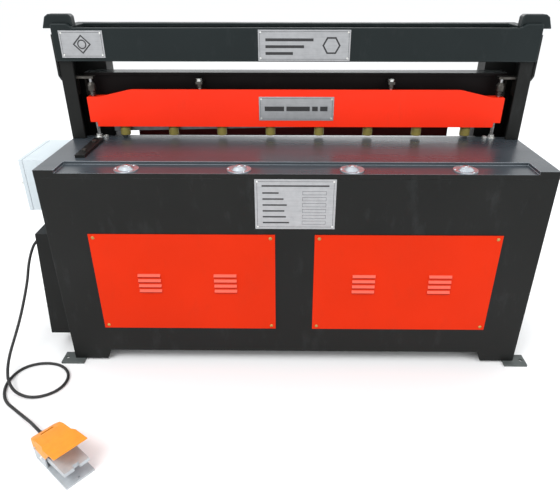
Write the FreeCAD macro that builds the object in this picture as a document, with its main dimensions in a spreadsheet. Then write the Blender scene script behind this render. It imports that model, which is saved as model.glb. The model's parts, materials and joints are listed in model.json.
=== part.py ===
"""Guillotine shear for sheet metal, electrically driven and worked by a foot pedal.

Millimetres.  +X runs along the blades to the operator's right, +Y away from the operator and
+Z up.  The origin is on the floor, at the centre of the four anchor holes.
"""

import FreeCAD
import Part
import Sketcher

import math
import os

Vector = FreeCAD.Vector
Rotation = FreeCAD.Rotation

doc = FreeCAD.newDocument("guillotine_shear")
sheet = doc.addObject("Spreadsheet::Sheet", "dims")
pieces = []
shared = {}


# ---------------------------------------------------------------- sizes and expressions

class Size:
    """A length together with the spreadsheet expression that it comes from."""

    def __init__(self, value, text):
        self.value = value
        self.text = text

    def __add__(self, other):
        other = as_size(other)
        return Size(self.value + other.value, "(%s + %s)" % (self.text, other.text))

    def __radd__(self, other):
        return as_size(other) + self

    def __sub__(self, other):
        other = as_size(other)
        return Size(self.value - other.value, "(%s - %s)" % (self.text, other.text))

    def __rsub__(self, other):
        return as_size(other) - self

    def __mul__(self, other):
        other = as_size(other)
        return Size(self.value * other.value, "(%s * %s)" % (self.text, other.text))

    def __rmul__(self, other):
        return as_size(other) * self

    def __truediv__(self, other):
        other = as_size(other)
        return Size(self.value / other.value, "(%s / %s)" % (self.text, other.text))

    def __neg__(self):
        return self * -1


def as_size(number):
    """Gives a plain number the form of a Size."""
    if isinstance(number, Size):
        return number
    return Size(float(number), "(%.6f)" % number)


def size(alias, value):
    """Puts one driving dimension in the spreadsheet and returns it."""
    size.row += 1
    cell = "B%d" % size.row
    sheet.set("A%d" % size.row, alias)
    sheet.set(cell, str(value))
    sheet.setAlias(cell, alias)
    return Size(float(value), "dims." + alias)


size.row = 0


def bind(thing, prop, length):
    """Binds a property of a document object to a length."""
    thing.setExpression(prop, as_size(length).text)


def put(thing, x, y, z):
    """Binds the base point of an object's placement."""
    bind(thing, ".Placement.Base.x", x)
    bind(thing, ".Placement.Base.y", y)
    bind(thing, ".Placement.Base.z", z)


# ---------------------------------------------------------------- driving dimensions

half_width = size("half_width", 800)            # half the width over the side plates
side_skin = size("side_skin", 12)               # thickness of a side plate
front_y = size("front_y", -280)                 # front face of the cabinet
rear_y = size("rear_y", 272)                    # rear edge of the side plates
face_skin = size("face_skin", 8)                # thickness of the front plate
body_low = size("body_low", 46)                 # lower edge of the cabinet between the legs
leg_foot = size("leg_foot", 680)                # inner edge of a leg at the floor
leg_top = size("leg_top", 664)                  # inner edge of a leg where it meets the cabinet
leg_deep = size("leg_deep", 110)                # length of a leg along the side plate
foot_skin = size("foot_skin", 8)
foot_wide = size("foot_wide", 82)
foot_deep = size("foot_deep", 58)
foot_out = size("foot_out", 45)                 # how far a foot stands out past the side plate
anchor_x = size("anchor_x", 831)                # the anchor holes are at +-anchor_x, +-anchor_y
anchor_y = size("anchor_y", 274)
anchor_hole = size("anchor_hole", 7)            # radius

table_top = size("table_top", 730)
table_skin = size("table_skin", 25)
table_rear = size("table_rear", 99)
trough_half = size("trough_half", 737)
trough_rear = size("trough_rear", -193)
trough_deep = size("trough_deep", 10)

column_front = size("column_front", 64)         # front face of the column flanges
flange_skin = size("flange_skin", 12)
flange_inner = size("flange_inner", 754)
beam_front = size("beam_front", 48)             # front face of the top beam
beam_low = size("beam_low", 996)
beam_top = size("beam_top", 1101)
beam_skin = size("beam_skin", 12)
beam_ledge = size("beam_ledge", 56)             # depth of the front rail's lower flange
shoulder_rise = size("shoulder_rise", 12)
shoulder_inner = size("shoulder_inner", 728)
shoulder_outer = size("shoulder_outer", 746)
end_ledge = size("end_ledge", 48)               # width of the top flanges at the two ends
cheek_skin = size("cheek_skin", 8)
cheek_low = size("cheek_low", 930)

shear_y = size("shear_y", 115)                  # the plane in which the two blades pass
blade_skin = size("blade_skin", 16)
blade_half = size("blade_half", 660)
blade_tall = size("blade_tall", 70)
blade_gap = size("blade_gap", 0.3)
blade_rake = size("blade_rake", 30)             # rise of the upper blade from left to right
blade_rest = size("blade_rest", 745)            # lowest point of the upper blade at rest

ram_half = size("ram_half", 740)
ram_skin = size("ram_skin", 19)
ram_low = size("ram_low", 790)
ram_top = size("ram_top", 950)
ram_ledge_front = size("ram_ledge_front", 120)
ram_ledge_rear = size("ram_ledge_rear", 184)
ram_ledge_skin = size("ram_ledge_skin", 10)

post_inner = size("post_inner", 680)
post_front = size("post_front", 186)
post_rear = size("post_rear", 266)
post_low = size("post_low", 560)

hold_front = size("hold_front", 68)
hold_skin = size("hold_skin", 10)
hold_rear = size("hold_rear", 113)
hold_half = size("hold_half", 726)
hold_low = size("hold_low", 773)
hold_top = size("hold_top", 901)
hold_end_top = size("hold_end_top", 876)
hold_end_low = size("hold_end_low", 789)
hold_step = size("hold_step", 702)              # where the lower edge steps up
hold_slope_inner = size("hold_slope_inner", 572)
hold_slope_outer = size("hold_slope_outer", 684)
hold_ledge_skin = size("hold_ledge_skin", 12)
foot_pad_pitch = size("foot_pad_pitch", 175)
foot_pad_rad = size("foot_pad_rad", 17.5)
foot_pad_low = size("foot_pad_low", 740)
pad_y = size("pad_y", 90)                       # line of the pads, guide rods and lift bolts
guide_x = size("guide_x", 711)
guide_rad = size("guide_rad", 6)
lift_x = size("lift_x", 333)

shaft_y = size("shaft_y", 182)                  # crank shaft
shaft_z = size("shaft_z", 300)
shaft_rad = size("shaft_rad", 25)
throw = size("throw", 27)                       # crank radius: the ram moves twice this
rod_x = size("rod_x", 640)
rod_half = size("rod_half", 8)
ram_pin_z = size("ram_pin_z", 890)
lay_y = size("lay_y", 91.07)                    # countershaft that carries the flywheel
lay_z = size("lay_z", 247.5)
lay_rad = size("lay_rad", 15)
motor_y = size("motor_y", -90)
motor_z = size("motor_z", 140)
fly_rad = size("fly_rad", 130)
motor_wheel_rad = size("motor_wheel_rad", 35)
wheel_wide = size("wheel_wide", 40)
belt_x = size("belt_x", -850)                   # middle plane of the belt

guard_out = size("guard_out", 99)               # depth of the belt guard
guard_front = size("guard_front", -170)
guard_toe = size("guard_toe", -220)
guard_low = size("guard_low", 77)
guard_top = size("guard_top", 460)
guard_skin = size("guard_skin", 3)

box_out = size("box_out", 170)                  # depth of the control box
box_front = size("box_front", 0)
box_rear = size("box_rear", 255)
box_low = size("box_low", 477)
box_top = size("box_top", 670)
box_skin = size("box_skin", 2)

panel_inner = size("panel_inner", 64)
panel_outer = size("panel_outer", 668)
panel_low = size("panel_low", 148)
panel_top = size("panel_top", 516)
panel_skin = size("panel_skin", 3)
panel_lap = size("panel_lap", 20)

ball_pitch = size("ball_pitch", 350)
ball_y = size("ball_y", -240)
ball_rad = size("ball_rad", 13)
ball_z = size("ball_z", 722.5)

gauge_rod_x = size("gauge_rod_x", 560)
gauge_rod_z = size("gauge_rod_z", 645)
gauge_rod_rad = size("gauge_rod_rad", 12)
gauge_y = size("gauge_y", 320)                  # front face of the back gauge bar
gauge_low = size("gauge_low", 672)
gauge_top = size("gauge_top", 745)

cord_rad = size("cord_rad", 5)
running_gap = size("running_gap", 0.06)         # radial clearance of a shaft in its bearing


# ---------------------------------------------------------------- ways of making a shape

AXIS_TURN = {
    "x": Rotation(Vector(0, 1, 0), 90),
    "y": Rotation(Vector(1, 0, 0), -90),
    "z": Rotation(),
}


def piece(node, thing):
    """Names an object as one of the machine's sub-parts."""
    thing.Label = node
    pieces.append(thing)
    return thing


def share(node, *things):
    """Adds separate solids to a sub-part that several functions contribute to."""
    shared.setdefault(node, []).extend(things)


def block(xs, ys, zs):
    """Rectangular block between pairs of coordinates."""
    box = doc.addObject("Part::Box", "block")
    for prop, ends in (("Length", xs), ("Width", ys), ("Height", zs)):
        bind(box, prop, ends[1] - ends[0])
    put(box, xs[0], ys[0], zs[0])
    return box


def axis_point(axis, at, along):
    """Point on a line parallel to an axis: at holds the other two coordinates in order."""
    if axis == "x":
        return (along, at[0], at[1])
    if axis == "y":
        return (at[0], along, at[1])
    return (at[0], at[1], along)


def bar(axis, at, span, radius):
    """Round bar parallel to an axis."""
    rod = doc.addObject("Part::Cylinder", "bar")
    bind(rod, "Radius", radius)
    bind(rod, "Height", span[1] - span[0])
    rod.Placement = FreeCAD.Placement(Vector(), AXIS_TURN[axis])
    put(rod, *axis_point(axis, at, span[0]))
    return rod


def taper(axis, at, span, start_radius, end_radius):
    """Round bar whose radius changes from one end to the other."""
    cone = doc.addObject("Part::Cone", "taper")
    bind(cone, "Radius1", start_radius)
    bind(cone, "Radius2", end_radius)
    bind(cone, "Height", span[1] - span[0])
    cone.Placement = FreeCAD.Placement(Vector(), AXIS_TURN[axis])
    put(cone, *axis_point(axis, at, span[0]))
    return cone


def ball(x, y, z, radius):
    """Sphere."""
    sphere = doc.addObject("Part::Sphere", "ball")
    bind(sphere, "Radius", radius)
    put(sphere, x, y, z)
    return sphere


def hexagon(axis, at, span, corner_radius):
    """Hexagonal prism, for bolt heads and nuts."""
    prism = doc.addObject("Part::Prism", "hexagon")
    prism.Polygon = 6
    bind(prism, "Circumradius", corner_radius)
    bind(prism, "Height", span[1] - span[0])
    prism.Placement = FreeCAD.Placement(Vector(), AXIS_TURN[axis])
    put(prism, *axis_point(axis, at, span[0]))
    return prism


def joined(*parts):
    """One solid made of several that touch."""
    fuse = doc.addObject("Part::MultiFuse", "joined")
    fuse.Shapes = list(parts)
    fuse.Refine = True
    return fuse


def less(base, *tools):
    """A solid with others cut out of it."""
    cut = doc.addObject("Part::Cut", "less")
    cut.Base = base
    cut.Tool = tools[0] if len(tools) == 1 else joined(*tools)
    cut.Refine = True
    return cut


def group(*parts):
    """Several separate solids of one sub-part."""
    compound = doc.addObject("Part::Compound", "group")
    compound.Links = list(parts)
    return compound


def mirrored(part):
    """The same shape on the other side of the machine's middle plane."""
    mirror = doc.addObject("Part::Mirroring", "mirrored")
    mirror.Source = part
    mirror.Normal = Vector(1, 0, 0)
    return mirror


def origin_plane(body, role):
    """One of a body's own origin planes."""
    for feature in body.Origin.OriginFeatures:
        if feature.Role == role:
            return feature
    raise ValueError(role)


def sketched_outline(body, role, points, offset):
    """Closed outline whose corners are bound to the spreadsheet."""
    sketch = body.newObject("Sketcher::SketchObject", "outline")
    sketch.AttachmentSupport = (origin_plane(body, role), [""])
    sketch.MapMode = "FlatFace"
    bind(sketch, ".AttachmentOffset.Base.z", offset)
    corners = [(as_size(across), as_size(up)) for across, up in points]
    count = len(corners)
    for i in range(count):
        start = corners[i]
        end = corners[(i + 1) % count]
        sketch.addGeometry(Part.LineSegment(
            Vector(start[0].value, start[1].value, 0),
            Vector(end[0].value, end[1].value, 0)))
    for i in range(count):
        sketch.addConstraint(Sketcher.Constraint("Coincident", i, 2, (i + 1) % count, 1))
    for i, (across, up) in enumerate(corners):
        for kind, length in (("DistanceX", across), ("DistanceY", up)):
            number = sketch.addConstraint(
                Sketcher.Constraint(kind, -1, 1, i, 1, length.value))
            bind(sketch, "Constraints[%d]" % number, length)
    return sketch


PLANES = {"x": ("YZ_Plane", 1), "y": ("XZ_Plane", -1), "z": ("XY_Plane", 1)}


def padded(normal, points, span, rounds=()):
    """Body padded from an outline: normal to x the points are (y, z), to y (x, z), to z (x, y).

    Each entry of rounds is (across, up, radius): the corner there is rounded.
    """
    role, sign = PLANES[normal]
    body = doc.addObject("PartDesign::Body", "padded")
    start = span[0] if sign > 0 else -span[1]
    sketch = sketched_outline(body, role, points, start)
    pad = body.newObject("PartDesign::Pad", "pad")
    pad.Profile = sketch
    bind(pad, "Length", span[1] - span[0])
    for radius in sorted({entry[2] for entry in rounds}):
        doc.recompute()
        base = body.Tip
        spots = [(as_size(a).value, as_size(u).value) for a, u, r in rounds if r == radius]
        fillet = body.newObject("PartDesign::Fillet", "fillet")
        fillet.Base = (base, corner_edges(base.Shape, normal, spots))
        fillet.Radius = radius
    return body


def corner_edges(shape, normal, spots):
    """Names of the straight edges parallel to an axis that stand on the given spots."""
    keep = {"x": (1, 2), "y": (0, 2), "z": (0, 1)}[normal]
    found = []
    for number, edge in enumerate(shape.Edges, 1):
        ends = [vertex.Point for vertex in edge.Vertexes]
        if len(ends) != 2:
            continue
        flat = [(point[keep[0]], point[keep[1]]) for point in ends]
        if math.dist(flat[0], flat[1]) > 0.01:
            continue
        if any(math.dist(flat[0], spot) < 0.01 for spot in spots):
            found.append("Edge%d" % number)
    return found


def turned(points, axis, at, along=0):
    """Body turned about an axis: the points are (radius, distance along the axis)."""
    body = doc.addObject("PartDesign::Body", "turned")
    sketch = sketched_outline(body, "XZ_Plane", points, 0)
    revolution = body.newObject("PartDesign::Revolution", "revolution")
    revolution.Profile = sketch
    revolution.ReferenceAxis = (sketch, ["V_Axis"])
    revolution.Angle = 360
    body.Placement = FreeCAD.Placement(Vector(), AXIS_TURN[axis])
    put(body, *axis_point(axis, at, along))
    return body


def both(one):
    """A sub-part's two separate solids, left and right."""
    return group(one, mirrored(one))


# ---------------------------------------------------------------- cabinet

def leg_outline(front, rear, top, inner_front, inner_rear):
    """Outline with two legs below and a straight upper edge."""
    slant = leg_foot - leg_top
    return [
        (front, foot_skin), (inner_front - slant, foot_skin), (inner_front, body_low),
        (inner_rear, body_low), (inner_rear + slant, foot_skin), (rear, foot_skin),
        (rear, top), (front, top)]


def make_side_plates():
    """The side plates carry the cabinet, the columns and the top beam."""
    front = front_y + face_skin
    outline = leg_outline(front, rear_y, table_top - table_skin,
                          front + leg_deep, rear_y - leg_deep)
    column = [(rear_y, beam_top - beam_skin), (column_front + flange_skin, beam_top - beam_skin),
              (column_front + flange_skin, table_top - table_skin)]
    outline = outline[:6] + column + outline[7:]
    left = padded("x", outline, (-half_width, -half_width + side_skin))
    openings = [
        bar("x", (lay_y, lay_z), (-half_width - 1, -half_width + side_skin + 1), 24),
        bar("x", (motor_y, motor_z), (-half_width - 1, -half_width + side_skin + 1), 18)]
    piece("side_plate_left", less(left, *openings))
    right = padded("x", outline, (half_width - side_skin, half_width))
    piece("side_plate_right", right)


def make_front_plate():
    """Front plate with its two legs and the two openings behind the access panels."""
    outline = leg_outline(-half_width, half_width, table_top - table_skin, -leg_top, leg_top)
    plate = padded("y", outline, (front_y, front_y + face_skin))
    inner = panel_inner + panel_lap
    outer = panel_outer - panel_lap
    opening = block((inner, outer), (front_y - 1, front_y + face_skin + 1),
                    (panel_low + panel_lap, panel_top - panel_lap))
    piece("front_plate", less(plate, opening, mirrored(opening)))


def make_table():
    """Table plate with the open-fronted trough for the ball units."""
    wide = half_width
    narrow = half_width - side_skin
    notch = column_front + flange_skin
    outline = [(-wide, front_y), (wide, front_y), (wide, notch), (narrow, notch),
               (narrow, table_rear), (-narrow, table_rear), (-narrow, notch), (-wide, notch)]
    plate = padded("z", outline, (table_top - table_skin, table_top))
    trough = block((-trough_half, trough_half), (front_y - 1, trough_rear),
                   (table_top - trough_deep, table_top + 1))
    cups = [bar("z", (x, ball_y), (table_top - table_skin - 1, table_top + 1), 22.5)
            for x in ball_places()]
    piece("table_plate", less(plate, trough, *cups))


def make_feet():
    """Four foot plates with the anchor holes."""
    feet = []
    for y_sign in (-1, 1):
        outer = half_width + foot_out
        near = y_sign * anchor_y - foot_deep / 2
        plate = block((outer - foot_wide, outer), (near, near + foot_deep), (0, foot_skin))
        hole = bar("z", (anchor_x, y_sign * anchor_y), (-1, foot_skin + 1), anchor_hole)
        foot = less(plate, hole)
        feet += [foot, mirrored(foot)]
    piece("foot_plates", group(*feet))


def make_inner_frame():
    """Floor pan, drive beam, table rail and rear plate inside the cabinet."""
    inside = half_width - side_skin
    pan = block((-inside, inside), (front_y + face_skin, rear_y - 4), (body_low, body_low + 4))
    beam = less(block((-inside, inside), (120, 244), (150, 190)),
                block((-inside - 1, inside + 1), (126, 238), (156, 184)))
    rail = padded("x", [(69, 600), (table_rear, 600), (table_rear, 642), (shear_y - 3, 642),
                        (shear_y - 3, 659.5), (table_rear, 659.5),
                        (table_rear, table_top - table_skin), (69, table_top - table_skin)],
                  (-inside, inside))
    piece("inner_frame", group(pan, beam, rail))
    rear = block((-inside, inside), (rear_y - 4, rear_y), (body_low, 470))
    vents = [block((x - 90, x + 90), (rear_y - 5, rear_y + 1), (z, z + 8))
             for x in (-360, 0, 360) for z in (330, 352, 374, 396)]
    piece("rear_plate", less(rear, *vents))
    chute = padded("x", [(125, 612), (128, 612), (262, 486), (300, 478), (300, 475),
                         (261, 483), (125, 609)], (-606, 606))
    piece("scrap_chute", chute)


def make_access_panels():
    """Two louvred panels, each with two groups of four pressed louvres."""
    face = front_y - panel_skin
    centre_z = (panel_low + panel_top) / 2
    plate = block((panel_inner, panel_outer), (face, front_y), (panel_low, panel_top))
    hoods = []
    mouths = []
    for x in (232, 487):
        for step in range(4):
            low = centre_z + (step - 1.5) * 20 - 4
            hoods.append(padded("x", [(face, low + 11), (face - 6, low + 3), (face - 6, low),
                                      (face, low)], (x - 38, x + 38)))
            mouths.append(padded("x", [(front_y + 1, low - 1), (front_y + 1, low + 7),
                                       (face, low + 7), (face - 4.5, low + 2),
                                       (face - 4.5, low - 1)], (x - 36.5, x + 36.5)))
    right = less(joined(plate, *hoods), *mouths)
    piece("access_panels", both(right))
    heads = []
    for x in (panel_inner + 15, panel_outer - 15):
        for z in (panel_low + 13, panel_top - 13):
            head = taper("y", (x, z), (face - 3, face), 3.5, 5.5)
            heads += [head, mirrored(head)]
    share("fasteners", *heads)


# ---------------------------------------------------------------- columns and top beam

def make_columns():
    """Front flanges, guide posts and base plates of the two columns."""
    flange = block((flange_inner, half_width), (column_front, column_front + flange_skin),
                   (table_top, beam_low))
    share("column_flanges", flange, mirrored(flange))
    post = block((post_inner, half_width - side_skin), (post_front, post_rear),
                 (post_low, beam_low))
    piece("guide_posts", both(post))
    cheek = padded("x", [(60, cheek_low + 18), (78, cheek_low), (150, cheek_low),
                         (150, beam_top - 22), (60, beam_top - 22)],
                   (half_width, half_width + cheek_skin))
    share("column_flanges", cheek, mirrored(cheek))
    bolts = [hexagon("x", (y, z), (half_width + cheek_skin, half_width + cheek_skin + 6), 9)
             for y in (88, 128) for z in (990, 1040)]
    share("fasteners", *bolts, *[mirrored(bolt) for bolt in bolts])


def make_top_beam():
    """Front rail with raised shoulders, rear rail and the flanges that join them."""
    high = beam_top + shoulder_rise
    outline = [(-half_width, beam_low), (half_width, beam_low), (half_width, high),
               (shoulder_outer, high), (shoulder_inner, beam_top), (-shoulder_inner, beam_top),
               (-shoulder_outer, high), (-half_width, high)]
    rounds = [(sign * x, z, r) for sign in (-1, 1)
              for x, z, r in ((shoulder_outer, high, 12), (shoulder_inner, beam_top, 12),
                              (half_width, high, 6))]
    face = padded("y", outline, (beam_front, beam_front + beam_skin), rounds)
    inside = half_width - side_skin
    ledge = block((-inside, inside), (beam_front + beam_skin, beam_front + beam_ledge),
                  (beam_low, beam_low + beam_skin))
    piece("top_beam_front", joined(face, ledge))
    web = block((-inside, inside), (rear_y - beam_skin, rear_y), (beam_low, beam_top))
    lip = block((-inside, inside), (rear_y - 50, rear_y - beam_skin),
                (beam_top - beam_skin, beam_top))
    end = block((half_width - end_ledge, half_width),
                (beam_front + beam_skin, rear_y - 50), (beam_top - beam_skin, beam_top))
    piece("top_beam_rear", joined(web, lip, end, mirrored(end)))


def make_lifting_ears():
    """Bent lifting hooks at the two upper corners."""
    outline = [(730, beam_top), (748, beam_top), (784, beam_top), (796, 1112), (804, 1097),
               (830, 1097), (818, 1132), (806, 1140), (732, 1140)]
    rounds = [(732, 1140, 12), (806, 1140, 8)]
    ear = padded("y", outline, (beam_front + beam_skin, beam_front + beam_skin + 34), rounds)
    piece("lifting_ears", both(ear))


# ---------------------------------------------------------------- ram, blades and hold-down

def make_ram():
    """Ram with its blade, guide shoes and connecting-rod lugs."""
    front = shear_y + blade_gap + blade_skin
    face = block((-ram_half, ram_half), (front, front + ram_skin), (ram_low, ram_top))
    ledge = block((-ram_half, ram_half), (ram_ledge_front, ram_ledge_rear),
                  (ram_top - ram_ledge_skin, ram_top))
    ribs = [block((x - 5, x + 5), (front + ram_skin, ram_ledge_rear - 4),
                  (ram_low + 30, ram_top - ram_ledge_skin)) for x in (-420, -140, 140, 420)]
    lugs = [block(xs, (front + ram_skin, shaft_y + 18), (ram_pin_z - 26, ram_pin_z + 26))
            for xs in ((rod_x - 26, rod_x - rod_half - 1), (rod_x + rod_half + 1, rod_x + 18))]
    holes = [bar("x", (shaft_y, ram_pin_z), (rod_x - 40, rod_x + 30), 14)]
    lugs += [mirrored(lug) for lug in lugs]
    holes += [mirrored(hole) for hole in holes]
    piece("ram_beam", less(joined(face, ledge, *ribs, *lugs), *holes))
    low = blade_rest
    high = blade_rest + blade_rake
    outline = [(-blade_half, low), (blade_half, high), (blade_half, high + blade_tall),
               (-blade_half, low + blade_tall)]
    blade = padded("y", outline, (shear_y + blade_gap, front))
    heads = []
    sunk = []
    for x in range(-600, 601, 150):
        z = blade_rest + blade_rake / 2 + blade_tall * 0.72 + x * blade_rake / (blade_half * 2)
        heads.append(bar("y", (x, z), (shear_y + blade_gap + 0.2, shear_y + blade_gap + 4), 7))
        sunk.append(bar("y", (x, z), (shear_y, shear_y + blade_gap + 4), 7))
    piece("upper_blade", group(less(blade, *sunk), *heads))
    shoe = block((post_inner + 6, post_inner + 74), (front + ram_skin, post_front - 0.2),
                 (806, 936))
    pin = bar("x", (shaft_y, ram_pin_z), (rod_x - 30, rod_x + 18), 14)
    share("ram_fittings", shoe, mirrored(shoe), pin, mirrored(pin))


def make_lower_blade():
    """Lower blade, bolted to the table rail."""
    blade = block((-blade_half, blade_half), (table_rear, shear_y),
                  (table_top - blade_tall, table_top))
    places = range(-600, 601, 150)
    heads = [bar("y", (x, table_top - 44), (shear_y - 2, shear_y - 0.1), 7) for x in places]
    sunk = [bar("y", (x, table_top - 44), (shear_y - 2, shear_y + 1), 7) for x in places]
    piece("lower_blade", less(blade, *sunk))
    share("fasteners", *heads)


def make_hold_down():
    """Spring-loaded hold-down beam with its rubber feet and lift bolts."""
    def half(sign):
        return [(sign * hold_step, hold_low), (sign * hold_step, hold_end_low),
                (sign * hold_half, hold_end_low), (sign * hold_half, hold_end_top),
                (sign * hold_slope_outer, hold_end_top), (sign * hold_slope_inner, hold_top)]
    outline = half(1) + half(-1)[::-1]
    rounds = [(sign * x, z, r) for sign in (-1, 1)
              for x, z, r in ((hold_slope_outer, hold_end_top, 90),
                              (hold_slope_inner, hold_top, 90), (hold_half, hold_end_top, 3))]
    face = padded("y", outline, (hold_front, hold_front + hold_skin), rounds)
    back = hold_front + hold_skin
    ledge = block((-hold_step, hold_step), (back, hold_rear),
                  (hold_low, hold_low + hold_ledge_skin))
    end_low = block((hold_step - 30, hold_half), (back, hold_rear - 4),
                    (hold_end_low, hold_end_low + 10))
    web = block((hold_step - 30, hold_step - 22), (back, hold_rear - 4),
                (hold_low + hold_ledge_skin, hold_end_top - 30))
    end_top = block((hold_step - 30, hold_half), (back, hold_rear - 4),
                    (hold_end_top - 12, hold_end_top - 0.5))
    lug = block((lift_x - 18, lift_x + 18), (back, hold_rear - 6), (812, 828))
    solids = [end_low, web, end_top, lug]
    holes = [bar("z", (sign * guide_x, pad_y), (hold_low - 1, hold_top + 1), guide_rad + 0.5)
             for sign in (-1, 1)]
    body = joined(face, ledge, *solids, *[mirrored(solid) for solid in solids])
    piece("hold_down_beam", less(body, *holes))
    xs = [(i - 3.5) * foot_pad_pitch for i in range(8)]
    feet = [joined(bar("z", (x, pad_y), (foot_pad_low, foot_pad_low + 27), foot_pad_rad),
                   bar("z", (x, pad_y), (foot_pad_low + 27, hold_low), foot_pad_rad - 3))
            for x in xs]
    piece("hold_down_feet", group(*feet))
    top = hold_low + hold_ledge_skin
    share("hold_down_fasteners", *[hexagon("z", (x, pad_y), (top, top + 6), 8) for x in xs])
    bolt = joined(bar("z", (lift_x, pad_y), (828, 926), 5),
                  hexagon("z", (lift_x, pad_y), (926, 934), 10),
                  hexagon("z", (lift_x, pad_y), (828, 835), 9))
    share("hold_down_fasteners", bolt, mirrored(bolt))


def make_lift_forks():
    """Forks on the ram that lift the hold-down by its two bolts."""
    front = shear_y + blade_gap + blade_skin
    arm = block((lift_x - 11, lift_x + 11), (hold_front + hold_skin + 2, front), (917, 925.7))
    bush = bar("z", (lift_x, pad_y), (904, 917), 9)
    hole = bar("z", (lift_x, pad_y), (900, 930), 5.6)
    fork = less(joined(arm, bush), hole)
    share("ram_fittings", fork, mirrored(fork))


def spring_path(x, y, low, high, radius, turns):
    """Helix between two heights, about a vertical line."""
    helix = Part.makeHelix((high - low) / turns, high - low, radius)
    helix.translate(Vector(x, y, low))
    return helix


def coil_spring(node, x, y, low, high, radius, wire, turns):
    """Coil spring: a wire swept along a helix."""
    low_end = low.value + wire
    high_end = high.value - wire
    helix = spring_path(x.value, y.value, low_end, high_end, radius, turns)
    start = helix.Edges[0].valueAt(helix.Edges[0].FirstParameter)
    heading = helix.Edges[0].tangentAt(helix.Edges[0].FirstParameter)
    section = Part.Wire([Part.makeCircle(wire, start, heading)])
    feature = doc.addObject("Part::Feature", node)
    feature.Shape = Part.Wire(helix.Edges).makePipeShell([section], True, True)
    return feature


def make_guide_rods():
    """Static guide rods, spring cups, nuts and brackets for the hold-down springs."""
    rods = []
    nuts = []
    cups = []
    for sign in (-1, 1):
        x = sign * guide_x
        rods.append(bar("z", (x, pad_y), (table_top, 936), guide_rad))
        washer = bar("z", (x, pad_y), (table_top, table_top + 3), 15)
        nut = hexagon("z", (x, pad_y), (table_top + 3, table_top + 12), 11)
        hole = bar("z", (x, pad_y), (table_top - 1, table_top + 20), guide_rad)
        nuts.append(less(joined(washer, nut), hole))
        cup = joined(bar("z", (x, pad_y), (896, 914), 15), taper("z", (x, pad_y), (914, 923), 15, 9))
        cups.append(less(cup, bar("z", (x, pad_y), (895, 940), guide_rad),
                         bar("z", (x, pad_y), (895, 914), 12.8)))
    bolt = hexagon("z", (684, 82), (table_top, table_top + 8), 9)
    share("fasteners", *nuts, bolt, mirrored(bolt))
    arm = block((guide_x - 14, flange_inner + 10), (column_front + flange_skin, 106), (936, 943))
    wall = block((flange_inner + 2, flange_inner + 10), (column_front + flange_skin, 106),
                 (880, 936))
    bracket = joined(arm, wall)
    piece("guide_rods", group(*rods, *cups, bracket, mirrored(bracket)))
    springs = [coil_spring("hold_spring", sign * guide_x, pad_y, hold_end_top, as_size(914),
                           10.6, 1.7, 6) for sign in (-1, 1)]
    piece("hold_down_springs", group(*springs))


# ---------------------------------------------------------------- table fittings

def ball_places():
    """Places of the ball units along the trough."""
    return [(i - 1.5) * ball_pitch for i in range(4)]


def make_ball_units():
    """Flanged ball transfer units in the trough: a cup with its ball, and the screws."""
    floor = table_top - trough_deep
    cups = []
    screws = []
    for number, x in enumerate(ball_places(), 1):
        cup = turned([(0, floor - 17), (22, floor - 17), (22, floor), (38, floor),
                      (38, floor + 3), (25, floor + 3), (17, floor + 10), (12, floor + 12.6),
                      (0, floor + 12.6)], "z", (x, ball_y))
        cups.append(less(cup, ball(x, ball_y, ball_z, ball_rad + 0.3)))
        piece("table_ball_%d" % number, ball(x, ball_y, ball_z, ball_rad))
        for across, along in ((-33, 0), (16.5, 28.6), (16.5, -28.6)):
            at = (x + across, ball_y + along)
            screws.append(taper("z", at, (floor + 3, floor + 5), 3.4, 2))
    piece("ball_cups", group(*cups, *screws))


def make_side_fence():
    """Squaring fence at the left of the table, with its two bolts."""
    holes = [bar("z", (-696, y), (table_top - 1, table_top + 20), 5) for y in (-115, -10)]
    piece("side_fence", less(block((-712, -680), (-160, 40), (table_top, table_top + 10)), *holes))
    bolts = [joined(bar("z", (-696, y), (table_top, table_top + 10), 5),
                    hexagon("z", (-696, y), (table_top + 10, table_top + 16), 9))
             for y in (-115, -10)]
    share("fasteners", *bolts)


def rivet_places(xs, zs, inset):
    """Four places near the corners of a plate."""
    return [(x, z) for x in (xs[0] + inset, xs[1] - inset) for z in (zs[0] + inset, zs[1] - inset)]


def make_label_plates():
    """Metal plates on the front, with a rivet at each corner."""
    skin = 1.5
    rivets = []
    for xs, zs, y in (((-123.5, 179.5), (999, 1095), beam_front),
                      ((-776, -632), (1008, 1092), beam_front),
                      ((-126, 126), (537, 704), front_y)):
        xs = (as_size(xs[0]), as_size(xs[1]))
        zs = (as_size(zs[0]), as_size(zs[1]))
        share("label_plates", block(xs, (y - skin, y), zs))
        rivets += [bar("y", at, (y - skin - 1.5, y - skin), 3.2)
                   for at in rivet_places(xs, zs, 8)]
    share("fasteners", *rivets)
    xs = (as_size(-126), as_size(136))
    zs = (as_size(796), as_size(878))
    piece("hold_down_plate", block(xs, (hold_front - skin, hold_front), zs))
    share("hold_down_fasteners", *[
        bar("y", at, (hold_front - skin - 1.5, hold_front - skin), 3.2)
        for at in rivet_places(xs, zs, 8)])


# ---------------------------------------------------------------- drive

TOOTH_MODULE = 3.0
PINION_TEETH = 16
GEAR_TEETH = 54


def gear_outline(teeth, first_angle):
    """Corners of a spur gear with straight-flanked teeth, one tooth at first_angle."""
    pitch_radius = TOOTH_MODULE * teeth / 2
    tip = pitch_radius + 0.85 * TOOTH_MODULE
    root = pitch_radius - 1.2 * TOOTH_MODULE
    step = 2 * math.pi / teeth
    points = []
    for tooth in range(teeth):
        middle = first_angle + tooth * step
        for radius, share in ((root, -0.34), (tip, -0.11), (tip, 0.11), (root, 0.34)):
            angle = middle + share * step
            points.append((radius * math.cos(angle), radius * math.sin(angle)))
    return points


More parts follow.
